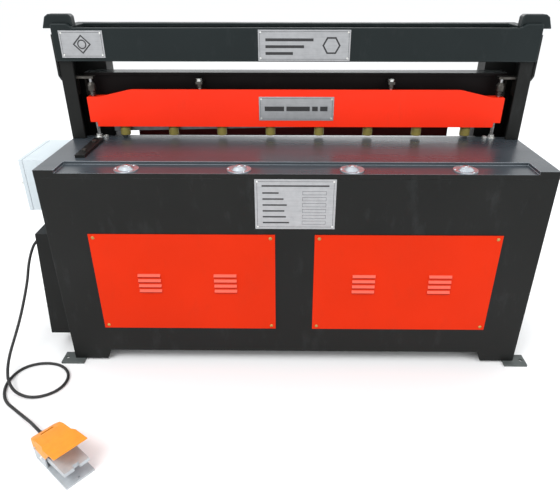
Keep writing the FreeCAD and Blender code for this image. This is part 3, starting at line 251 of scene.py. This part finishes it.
GREY_WORN = srgb(66, 69, 71)
LOOKS = {
    "dark_paint": paint("dark_paint", srgb(21, 22, 21), 0.46, GREY_WORN, gloss=0.18),
    # Painted highlight: the beam's paint has a pale line along its edges.
    "beam_paint": paint("beam_paint", srgb(22, 30, 31), 0.40, GREY_WORN, gloss=0.2,
                        painted_edge_highlight=srgb(84, 96, 98)),
    "red_paint": paint("red_paint", srgb(246, 46, 12), 0.42, srgb(206, 60, 36), gloss=0.2,
                       patch=0.05),
    "maroon_paint": paint("maroon_paint", srgb(84, 12, 12), 0.4, srgb(100, 50, 44)),
    "panel_paint": paint("panel_paint", srgb(206, 41, 2), 0.5, srgb(176, 50, 24), gloss=0.1,
                         patch=0.05),
    # Painted shadow: the louvres' front lips get a darker red than the panels.
    "louvre_lip": paint("louvre_lip", srgb(138, 24, 12), 0.5, srgb(150, 60, 50), gloss=0.2,
                        patch=0.06, grime=0.3),
    # Painted highlight: the louvres' sloping tops get a paler red than the panels.
    "louvre_paint": paint("louvre_paint", srgb(242, 96, 76), 0.5, srgb(238, 132, 116), gloss=0.3,
                          patch=0.05),
    "foot_paint": paint("foot_paint", srgb(82, 87, 86), 0.6, srgb(116, 118, 114), gloss=0.3,
                        grime=0.6),
    # Partly painted reflection: the table's bluish grey, lighter than the cabinet's paint, stands partly for the
    # pale sky it reflects, and its edges carry a painted highlight line.
    "table_paint": paint("table_paint", srgb(60, 67, 73), 0.29, srgb(98, 104, 110), gloss=0.55,
                         streak=(6, 1, 1), painted_edge_highlight=srgb(176, 184, 190)),
    "ram_paint": paint("ram_paint", srgb(17, 13, 13), 0.5, srgb(50, 46, 44), gloss=0.1),
    # Painted reflection: the ram's top faces get a lighter grey than the ram, with a painted highlight along their
    # edges.
    "ram_top": paint("ram_top", srgb(52, 56, 56), 0.26, srgb(92, 96, 102), gloss=0.8,
                     streak=(6, 1, 1), painted_edge_highlight=srgb(120, 126, 130)),
    "steel": metal("steel", srgb(176, 178, 180), 0.28, (8, 8, 1), stain=srgb(120, 116, 110)),
    "ground_steel": metal("ground_steel", srgb(138, 140, 142), 0.36, (40, 1, 1), 0.0009,
                          stain=srgb(122, 121, 119), scratch=0.12),
    "dark_steel": metal("dark_steel", srgb(92, 90, 86), 0.42, stain=srgb(58, 54, 50)),
    "zinc": metal("zinc", srgb(226, 228, 226), 0.40, stain=srgb(196, 194, 184)),
    "pressed_zinc": metal("pressed_zinc", srgb(200, 206, 212), 0.34, stain=srgb(176, 182, 188),
                          bare=0.8),
    "bright_ball": metal("bright_ball", srgb(226, 229, 232), 0.12, stain=srgb(206, 208, 210)),
    "brass": metal("brass", srgb(196, 164, 96), 0.35, stain=srgb(150, 128, 84)),
    "cast_iron": cast("cast_iron", srgb(78, 80, 82), 0.55),
    "plate_metal": metal("plate_metal", srgb(170, 171, 173), 0.42, (90, 1, 1), 0.0009,
                         stain=srgb(158, 159, 161), scratch=0.5),
    "print": plastic("print", srgb(38, 38, 40), 0.5),
    "polyurethane": plastic("polyurethane", srgb(128, 116, 50), 0.5, dirt=srgb(88, 80, 46)),
    "black_rubber": plastic("black_rubber", srgb(24, 24, 25), 0.5, dirt=srgb(44, 43, 42)),
    "box_paint": paint("box_paint", srgb(206, 216, 221), 0.45, srgb(184, 190, 192), gloss=0.35,
                       patch=0.03),
    "pedal_yellow": plastic("pedal_yellow", srgb(246, 152, 34), 0.42, dirt=srgb(214, 132, 36),
                            Specular_IOR_Level=0.3),
    "pedal_grey": plastic("pedal_grey", srgb(182, 188, 192), 0.44, dirt=srgb(150, 156, 160)),
    "black_plastic": plastic("black_plastic", srgb(28, 28, 30), 0.4),
    "green_plastic": plastic("green_plastic", srgb(28, 132, 62), 0.3, Coat_Weight=0.4),
    "red_plastic": plastic("red_plastic", srgb(196, 26, 20), 0.3, Coat_Weight=0.4),
}


# Nodes whose look has another name than their slot.
OTHER_LOOKS = {"top_beam_front": "beam_paint", "top_beam_rear": "beam_paint",
               "lifting_ears": "beam_paint", "hold_down_springs": "dark_steel",
               "ram_fittings": "dark_steel", "ball_cups": "pressed_zinc",
               "table_ball_1": "bright_ball", "table_ball_2": "bright_ball",
               "table_ball_3": "bright_ball", "table_ball_4": "bright_ball",
               "access_panels": "panel_paint", "foot_plates": "foot_paint",
               "upper_blade": "ground_steel", "lower_blade": "ground_steel",
               "ram_beam": "ram_paint"}

TABLE_LIP_Y = -0.279        # the table's front edge is ahead of this
RAM_TOP_Z = 0.9             # the ram's upper faces are above this
LOUVRE_LIP_AREA = 0.0004    # a louvre's front lip is smaller than this, in square metres


def is_table_lip(face):
    """The table's front edge, sprayed with the cabinet."""
    return abs(face.normal.z) < 0.5 and face.center.y < TABLE_LIP_Y


def is_ram_top(face):
    """The ram's upper faces, which have a glossier coat and a lighter grey that is a painted reflection of the
    sky.
    """
    return face.normal.z > 0.9 and face.center.z > RAM_TOP_Z


def is_louvre_slope(face):
    """The sloping top of a louvre, painted a paler red as a painted highlight where it catches the light."""
    return 0.3 < face.normal.z < 0.95


def is_louvre_lip(face):
    """The narrow front lip of a louvre, painted a darker red as a painted shadow under the louvre."""
    return face.normal.y < -0.9 and face.area < LOUVRE_LIP_AREA


# Further looks on some faces of a node.
SECOND_LOOKS = {"table_plate": [("dark_paint", is_table_lip)],
                "ram_beam": [("ram_top", is_ram_top)],
                "access_panels": [("louvre_paint", is_louvre_slope),
                                  ("louvre_lip", is_louvre_lip)]}


# ---------------------------------------------------------------- meshes

SEAM = 0.01 * MM                       # vertices nearer than this are one
FLAT_ANGLE = math.radians(0.6)         # faces nearer than this in angle are one
SMOOTH_ANGLE = math.radians(35)        # blunter edges are shaded smooth
BEVEL_ANGLE = math.radians(40)         # sharper edges are broken
BEVEL_SEGMENTS = 2


def clean_mesh(node):
    """Bmesh of a node with its seams joined and its flat faces in one piece."""
    mesh = bmesh.new()
    mesh.from_mesh(nodes[node].data)
    bmesh.ops.remove_doubles(mesh, verts=mesh.verts, dist=SEAM)
    bmesh.ops.dissolve_limit(mesh, angle_limit=FLAT_ANGLE, verts=mesh.verts, edges=mesh.edges)
    return mesh


def loose_parts(mesh):
    """The vertices of each separate solid of a bmesh."""
    left = set(mesh.verts)
    parts = []
    while left:
        queue = [left.pop()]
        part = []
        while queue:
            vert = queue.pop()
            part.append(vert)
            near = [edge.other_vert(vert) for edge in vert.link_edges]
            fresh = [other for other in near if other in left]
            left.difference_update(fresh)
            queue += fresh
        parts.append(part)
    return parts


def solid_boxes(node):
    """Lowest and highest corner of each separate solid of a node."""
    mesh = clean_mesh(node)
    boxes = []
    for part in loose_parts(mesh):
        low = Vector([min(vert.co[axis] for vert in part) for axis in range(3)])
        high = Vector([max(vert.co[axis] for vert in part) for axis in range(3)])
        boxes.append((low, high))
    mesh.free()
    return sorted(boxes, key=lambda box: tuple(box[0]))


def add_piece(name, mesh, body, look):
    """Makes a piece of a bmesh, gives it its look and lets it ride on a body."""
    data = bpy.data.meshes.new(name)
    mesh.normal_update()
    mesh.to_mesh(data)
    mesh.free()
    data.polygons.foreach_set("use_smooth", [True] * len(data.polygons))
    data.set_sharp_from_angle(angle=SMOOTH_ANGLE)
    data.materials.append(LOOKS[look])
    made = bpy.data.objects.new(name, data)
    bpy.context.scene.collection.objects.link(made)
    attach(made, body)
    return made


def rounded(node, width, look):
    """The node's own shape with its sharp edges broken, standing for the node."""
    made = add_piece(node + "_finished", clean_mesh(node), body_of[node], look)
    for place, (other, belongs) in enumerate(SECOND_LOOKS.get(node, ()), 1):
        made.data.materials.append(LOOKS[other])
        for polygon in made.data.polygons:
            if belongs(polygon):
                polygon.material_index = place
    bevel = made.modifiers.new("edges", "BEVEL")
    bevel.width = width
    bevel.segments = BEVEL_SEGMENTS
    bevel.limit_method = "ANGLE"
    bevel.angle_limit = BEVEL_ANGLE
    bevel.use_clamp_overlap = True
    weighted = made.modifiers.new("normals", "WEIGHTED_NORMAL")
    weighted.keep_sharp = True
    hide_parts(node)


CROSS_ARM = 0.34    # half the width of a cross recess's arm, as a share of its reach


def ring_shape(kind, angle):
    """Radius of a unit outline at an angle: round, hexagon or cross recess."""
    if kind == "hex":
        return math.cos(math.pi / 6) / math.cos(angle % (math.pi / 3) - math.pi / 6)
    if kind == "cross":
        turn = abs((angle + math.pi / 4) % (math.pi / 2) - math.pi / 4)
        return 1.0 if math.tan(turn) < CROSS_ARM else CROSS_ARM / math.sin(turn)
    return 1.0


def turn_on(mesh, seat, out, rings, steps=32):
    """Adds a turned shape to a bmesh: rings of (radius, height, outline) along out."""
    turn = Vector(out).to_track_quat("Z", "Y").to_matrix()
    loops = []
    for radius, height, kind in rings:
        loop = []
        for step in range(steps):
            angle = 2 * math.pi * step / steps
            reach = radius * ring_shape(kind, angle)
            spot = Vector((reach * math.cos(angle), reach * math.sin(angle), height))
            loop.append(mesh.verts.new(Vector(seat) + turn @ spot))
        loops.append(loop)
    for first, second in zip(loops, loops[1:]):
        for step in range(steps):
            after = (step + 1) % steps
            mesh.faces.new((first[step], first[after], second[after], second[step]))
    mesh.faces.new(list(reversed(loops[0])))
    mesh.faces.new(loops[-1])


def pan_head(mesh, seat, out, radius, height):
    """Domed screw head with a cross recess, on a thin washer."""
    turn_on(mesh, seat, out, [
        (radius * 1.18, 0, "round"), (radius * 1.2, height * 0.14, "round"),
        (radius * 1.14, height * 0.2, "round"), (radius, height * 0.22, "round"),
        (radius * 0.97, height * 0.5, "round"), (radius * 0.84, height * 0.8, "round"),
        (radius * 0.62, height * 0.97, "round"), (radius * 0.56, height, "cross"),
        (radius * 0.5, height * 0.5, "cross")])


def rivet_head(mesh, seat, out, radius, height):
    """Flat dome of a blind rivet with the dimple of its mandrel."""
    turn_on(mesh, seat, out, [
        (radius, 0, "round"), (radius * 0.98, height * 0.35, "round"),
        (radius * 0.8, height * 0.8, "round"), (radius * 0.5, height, "round"),
        (radius * 0.34, height, "round"), (radius * 0.3, height * 0.45, "round")])


def hex_head(mesh, seat, out, radius, height):
    """Chamfered hexagon head with a shallow dish."""
    turn_on(mesh, seat, out, [
        (radius * 0.9, 0, "round"), (radius * 0.99, height * 0.08, "hex"),
        (radius, height * 0.14, "hex"), (radius, height * 0.8, "hex"),
        (radius * 0.9, height, "round"), (radius * 0.74, height * 0.98, "round"),
        (radius * 0.7, height * 0.9, "round")], 36)


def socket_head(mesh, seat, out, radius, height):
    """Cylinder head with a hexagon socket."""
    turn_on(mesh, seat, out, [
        (radius, 0, "round"), (radius, height * 0.85, "round"), (radius * 0.93, height, "round"),
        (radius * 0.55, height, "hex"), (radius * 0.52, height * 0.4, "hex")], 36)


def dome_pin(mesh, start, end, radius):
    """Round pin with domed ends."""
    length = (end - start).length
    turn_on(mesh, start, end - start, [
        (radius * 0.4, 0, "round"), (radius * 0.85, radius * 0.2, "round"),
        (radius, radius * 0.5, "round"), (radius, length - radius * 0.5, "round"),
        (radius * 0.85, length - radius * 0.2, "round"), (radius * 0.4, length, "round")], 24)


ROD_ENDS_UNDER = 0.8    # of the node's solids only the rods reach down past this height


def make_guide_rods():
    """Bare guide rods, and apart from them the dark spring cups and brackets."""
    for name, look, bare in (("guide_rod_bars", "steel", True),
                             ("guide_rod_brackets", "dark_steel", False)):
        mesh = clean_mesh("guide_rods")
        loose = []
        for part in loose_parts(mesh):
            is_rod = min(vert.co.z for vert in part) < ROD_ENDS_UNDER
            if is_rod != bare:
                loose += part
        bmesh.ops.delete(mesh, geom=loose, context="VERTS")
        made = add_piece(name, mesh, "frame", look)
    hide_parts("guide_rods")


def make_treadle_spring():
    """Return spring under the treadle."""
    node = "treadle_spring"
    coil = add_piece("treadle_coil", clean_mesh(node), body_of[node], "steel")
    low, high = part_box(node)
    foot = (low + high) / 2
    foot.z = low.z
    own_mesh(coil)
    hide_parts(node)


# ---------------------------------------------------------------- screws and rivets

def treadle_axis():
    """Direction of the treadle's pin, level across the pedal."""
    joint = next(joint for joint in frame["joints"] if joint["name"] == "treadle_press")
    return Vector(joint["axis"]).normalized()


def pedal_middle():
    """Middle of the pedal's base plate."""
    low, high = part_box("pedal_base")
    return (low + high) / 2


def treadle_pin(mesh, size, middle):
    """The treadle's pin, or a hood screw on one side of the pedal."""
    across = treadle_axis()
    if size.xy.length > PIN_LENGTH:
        reach = across * (size.xy.length / 2 - 2 * MM)
        dome_pin(mesh, middle - reach, middle + reach, 4 * MM)
    else:
        side = 1 if (middle - pedal_middle()).dot(across) > 0 else -1
        socket_head(mesh, middle - across * side * 2 * MM, across * side, 4 * MM, 4 * MM)


def guide_nut(mesh, middle, low):
    """Nut of a guide rod on its washer."""
    seat = Vector((middle.x, middle.y, low.z))
    washer = 3 * MM
    turn_on(mesh, seat, (0, 0, 1), [
        (15 * MM, 0, "round"), (15 * MM, 2.6 * MM, "round"), (14.6 * MM, washer, "round"),
        (9 * MM, washer, "round")])
    hex_head(mesh, seat + Vector((0, 0, washer)), (0, 0, 1), 11 * MM, 9 * MM)


PEDAL_FROM_Y = -0.6          # the pedal's own fasteners are ahead of this
PIN_LENGTH = 50 * MM         # the treadle's pin is longer, the hood's screws are shorter
SCREW_HEIGHT = 3 * MM        # how far a panel screw's head stands out
RIVET_HEIGHT = 1.5 * MM      # how far a plate's rivet stands out
NEAR = 0.2 * MM              # heights that differ by less are the same
BLADE_HEAD_MOST = 2.5 * MM   # a blade screw's head stands out less
WASHER_LEAST = 25 * MM       # only the guide rods' washers are wider
UPRIGHT_LEAST = 15 * MM      # only upright heads measure more than this along X
FENCE_TO_Y = 0.05            # the side fence's bolts are ahead of this
FASTENER_LOOKS = {"panel_screws": "brass", "plate_rivets": "zinc", "hex_bolts": "dark_steel",
                  "guide_nuts": "zinc", "blade_screws": "dark_steel", "treadle_pins": "zinc"}


def make_fasteners():
    """Every fixed screw, rivet, bolt and nut, in the places of the node's solids."""
    kinds = {name: bmesh.new() for name in FASTENER_LOOKS}
    for low, high in solid_boxes("fasteners"):
        size = high - low
        middle = (low + high) / 2
        radius = size.z / 2
        if middle.y < PEDAL_FROM_Y:
            treadle_pin(kinds["treadle_pins"], size, middle)
        elif abs(size.y - SCREW_HEIGHT) < NEAR:
            pan_head(kinds["panel_screws"], (middle.x, high.y, middle.z), (0, -1, 0),
                     4.7 * MM, size.y)
        elif abs(size.y - RIVET_HEIGHT) < NEAR:
            rivet_head(kinds["plate_rivets"], (middle.x, high.y, middle.z), (0, -1, 0), radius,
                       size.y)
        elif size.y < BLADE_HEAD_MOST:
            socket_head(kinds["blade_screws"], (middle.x, low.y, middle.z), (0, 1, 0), radius,
                        size.y)
        elif size.x > WASHER_LEAST:
            guide_nut(kinds["guide_nuts"], middle, low)
        elif size.x > UPRIGHT_LEAST and middle.y > FENCE_TO_Y:
            hex_head(kinds["guide_nuts"], (middle.x, middle.y, low.z), (0, 0, 1), 9 * MM, size.z)
        elif size.x > UPRIGHT_LEAST:
            hex_head(kinds["hex_bolts"], (middle.x, middle.y, high.z - 6 * MM), (0, 0, 1),
                     9 * MM, 6 * MM)
        else:
            side = 1 if middle.x > 0 else -1
            seat_x = low.x if side > 0 else high.x
            hex_head(kinds["hex_bolts"], (seat_x, middle.y, middle.z), (side, 0, 0), radius,
                     size.x)
    for name, mesh in kinds.items():
        made = add_piece(name, mesh, "frame", FASTENER_LOOKS[name])
    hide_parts("fasteners")


# ---------------------------------------------------------------- plates

PRINT_OUT = 0.12 * MM    # a printed mark stands this far off its plate
PRINT_IN = 0.3 * MM      # and reaches this far into it
BORDER_LINE = 1 * MM
TALL_PLATE = 120 * MM    # only the rating plate is taller
WIDE_PLATE = 200 * MM    # of the others, only the beam's plate is wider


def printed(mesh, face, x0, x1, z0, z1):
    """Adds one printed bar to a plate's front face."""
    low = Vector((x0, face - PRINT_OUT, z0))
    high = Vector((x1, face + PRINT_IN, z1))
    place = Matrix.Translation((low + high) / 2) @ Matrix.Diagonal((*(high - low), 1))
    bmesh.ops.create_cube(mesh, size=1, matrix=place)


def border(mesh, face, x0, x1, z0, z1, line):
    """Adds a rectangular line."""
    printed(mesh, face, x0, x1, z1 - line, z1)
    printed(mesh, face, x0, x1, z0, z0 + line)
    printed(mesh, face, x0, x0 + line, z0 + line, z1 - line)
    printed(mesh, face, x1 - line, x1, z0 + line, z1 - line)


def polygon_line(mesh, face, x, z, radius, corners, line):
    """Adds a regular polygon's outline."""
    loops = []
    for reach in (radius, radius - line):
        for y in (face - PRINT_OUT, face + PRINT_IN):
            loop = []
            for corner in range(corners):
                angle = 2 * math.pi * corner / corners
                loop.append(mesh.verts.new((x + reach * math.cos(angle), y,
                                            z + reach * math.sin(angle))))
            loops.append(loop)
    front_out, back_out, front_in, back_in = loops
    for this in range(corners):
        after = (this + 1) % corners
        mesh.faces.new((front_out[this], front_out[after], front_in[after], front_in[this]))
        mesh.faces.new((back_out[this], back_out[after], front_out[after], front_out[this]))
        mesh.faces.new((front_in[this], front_in[after], back_in[after], back_in[this]))


def rating_fields(mesh, low, high):
    """Rows of short bars and empty boxes, as a data plate has."""
    face = low.y
    printed(mesh, face, low.x + 22 * MM, high.x - 22 * MM, high.z - 24 * MM, high.z - 19 * MM)
    for row, share in enumerate((0.20, 0.26, 0.30, 0.27, 0.29, 0.33)):
        z = high.z - (42 + 20 * row) * MM
        wide = (high.x - low.x) * share
        printed(mesh, face, low.x + 24 * MM, low.x + 24 * MM + wide, z - 5 * MM, z)
        border(mesh, face, high.x - 104 * MM, high.x - 30 * MM, z - 8.5 * MM, z + 3.5 * MM,
               0.8 * MM)


def beam_fields(mesh, low, high):
    """Three bars of different lengths and a hexagon's outline."""
    polygon_line(mesh, low.y, high.x - 62 * MM, (low.z + high.z) / 2, 30 * MM, 6, 6 * MM)
    left = low.x + 24 * MM
    for row, share in enumerate((0.52, 0.42, 0.3)):
        z = high.z - (26 + 21 * row) * MM
        printed(mesh, low.y, left, left + (high.x - low.x) * share, z - 9 * MM, z)


def corner_fields(mesh, low, high):
    """A ring inside a square's outline that stands on its corner."""
    middle = (low + high) / 2
    polygon_line(mesh, low.y, middle.x, middle.z, 30 * MM, 4, 6 * MM)
    polygon_line(mesh, low.y, middle.x, middle.z, 15 * MM, 24, 4 * MM)


def make_plate_prints():
    """Plain marks on the four metal plates: border lines, bars and empty fields."""
    mesh = bmesh.new()
    for low, high in solid_boxes("label_plates"):
        tall = high.z - low.z > TALL_PLATE
        inset = 7 * MM if tall else 5 * MM
        border(mesh, low.y, low.x + inset, high.x - inset, low.z + inset, high.z - inset,
               BORDER_LINE)
        if tall:
            rating_fields(mesh, low, high)
        elif high.x - low.x > WIDE_PLATE:
            beam_fields(mesh, low, high)
        else:
            corner_fields(mesh, low, high)
    add_piece("plate_prints", mesh, "frame", "print")
    mesh = bmesh.new()
    low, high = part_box("hold_down_plate")
    border(mesh, low.y, low.x + 5 * MM, high.x - 5 * MM, low.z + 5 * MM, high.z - 5 * MM,
           BORDER_LINE)
    for start, end in ((20, 88), (96, 178), (186, 206), (214, 240)):
        printed(mesh, low.y, low.x + start * MM, low.x + end * MM, low.z + 33 * MM,
                high.z - 33 * MM)
    add_piece("hold_down_plate_print", mesh, "hold_down", "print")


# ---------------------------------------------------------------- cord

CORD_ROUTE = [
    (-0.905, -0.040, 0.384), (-0.940, -0.040, 0.384), (-0.972, -0.043, 0.366),
    (-0.990, -0.056, 0.330), (-0.993, -0.092, 0.292), (-0.988, -0.132, 0.252),
    (-0.991, -0.182, 0.198), (-0.998, -0.226, 0.146), (-1.004, -0.276, 0.102),
    (-1.008, -0.326, 0.066), (-1.003, -0.372, 0.036), (-0.972, -0.436, 0.031),
    (-0.930, -0.475, 0.012), (-0.862, -0.487, 0.005), (-0.797, -0.449, 0.005),
    (-0.785, -0.378, 0.005), (-0.832, -0.318, 0.005), (-0.908, -0.303, 0.005),
    (-0.972, -0.330, 0.005), (-0.994, -0.392, 0.005), (-0.986, -0.450, 0.005),
    (-0.956, -0.503, 0.005), (-0.905, -0.540, 0.005), (-0.861, -0.573, 0.007),
    (-0.824, -0.606, 0.020), (-0.7916, -0.639, 0.034), (-0.755, -0.670, 0.034),
]
CORD_WIDE = 0.010


def make_cord():
    """The treadle's cord, from the belt guard to the treadle's rear."""
    curve = bpy.data.curves.new("treadle_cord", "CURVE")
    curve.dimensions = "3D"
    curve.bevel_depth = CORD_WIDE / 2
    curve.bevel_resolution = 4
    curve.resolution_u = 16
    spline = curve.splines.new("NURBS")
    spline.points.add(len(CORD_ROUTE) - 1)
    for point, place in zip(spline.points, CORD_ROUTE):
        point.co = (*place, 1.0)
    spline.use_endpoint_u = True
    spline.order_u = 3
    cord = bpy.data.objects.new("treadle_cord", curve)
    bpy.context.scene.collection.objects.link(cord)
    cord.data.materials.append(LOOKS["black_rubber"])
    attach(cord, "frame")
    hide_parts("pedal_cord")


# ---------------------------------------------------------------- floor, light and camera

SKY_COLOUR = (0.97, 0.985, 1.0, 1.0)
SKY_STRENGTH = 1.05
# Name, place, aim, width and power of each lamp.
LAMPS = (("key", (-1.8, -2.6, 3.8), (0, 0, 0.5), 2.2, 84),
         ("fill", (2.8, -2.4, 2.6), (0, 0, 0.6), 2.4, 26),
         ("back", (0.4, 2.8, 3.2), (0, 0, 0.9), 3.0, 60))
CAMERA_PLACE = (-0.022, -1.802, 1.261)
CAMERA_DIP = 28.14          # degrees down from level
CAMERA_TURN = 0.6           # degrees to the left of straight ahead
SENSOR_WIDTH = 36
FOCAL_LENGTH = 33.9
LENS_SHIFT = (-0.0055, 0.003)


def make_floor():
    """Wide pale floor, left out of the object."""
    bpy.ops.mesh.primitive_plane_add(size=60)
    floor = bpy.context.object
    floor.name = "studio_floor"
    look = Look("studio_floor")
    body = look.mix(look.noise(1.5), srgb(251, 251, 251), srgb(254, 254, 254))
    floor.data.materials.append(look.finish(body, 0.9))


def make_lights():
    """Pale surroundings and three soft lamps."""
    world = bpy.data.worlds.new("studio")
    bpy.context.scene.world = world
    world.use_nodes = True
    background = world.node_tree.nodes["Background"]
    background.inputs["Color"].default_value = SKY_COLOUR
    background.inputs["Strength"].default_value = SKY_STRENGTH
    for name, place, aim, size, power in LAMPS:
        light = bpy.data.lights.new(name, "AREA")
        light.shape = "DISK"
        light.size = size
        light.energy = power
        lamp = bpy.data.objects.new(name, light)
        lamp.location = place
        lamp.rotation_euler = (Vector(aim) - Vector(place)).to_track_quat("-Z", "Y").to_euler()
        bpy.context.scene.collection.objects.link(lamp)


def make_camera():
    """Camera at chest height in front of the table, looking down on it."""
    lens = bpy.data.cameras.new("photographer")
    lens.sensor_width = SENSOR_WIDTH
    lens.lens = FOCAL_LENGTH
    lens.shift_x, lens.shift_y = LENS_SHIFT
    lens.clip_end = 100
    camera = bpy.data.objects.new("photographer", lens)
    camera.location = CAMERA_PLACE
    camera.rotation_euler = Euler((math.radians(90 - CAMERA_DIP), 0, math.radians(CAMERA_TURN)))
    bpy.context.scene.collection.objects.link(camera)
    bpy.context.scene.camera = camera
    bpy.context.scene.view_settings.view_transform = "Standard"


# ---------------------------------------------------------------- the whole scene

# Widths of the broken edges, in millimetres.
BROKEN_EDGES = {"top_beam_front": 3.0, "top_beam_rear": 2.0, "lifting_ears": 2.5,
                "column_flanges": 1.5, "side_plate_left": 1.2, "side_plate_right": 1.2,
                "front_plate": 1.5, "table_plate": 2.0, "access_panels": 0.6,
                "hold_down_beam": 1.5, "foot_plates": 1.5, "side_fence": 1.5,
                "belt_guard": 2.0, "control_box": 1.5, "control_door": 1.5,
                "label_plates": 0.4, "hold_down_plate": 0.4, "pedal_base": 1.0,
                "treadle": 1.5, "pedal_hood": 1.2, "ram_beam": 1.0, "guide_posts": 1.5,
                "rear_plate": 0.8, "gauge_bar": 1.0, "start_button": 1.5, "stop_button": 2.0,
                "door_lock": 0.8, "hold_down_feet": 1.5}
# Nodes that pieces of this script stand for.
REBUILT = ("fasteners", "pedal_cord", "guide_rods", "treadle_spring")

make_floor()
make_lights()
make_camera()
make_cord()
for name, node in nodes.items():
    look = OTHER_LOOKS.get(name, part_slots[name])
    if name in BROKEN_EDGES:
        rounded(name, BROKEN_EDGES[name] * MM, look)
    elif name not in REBUILT:
        node.data.materials.clear()
        node.data.materials.append(LOOKS[look])
make_guide_rods()
make_treadle_spring()
make_fasteners()
make_plate_prints()
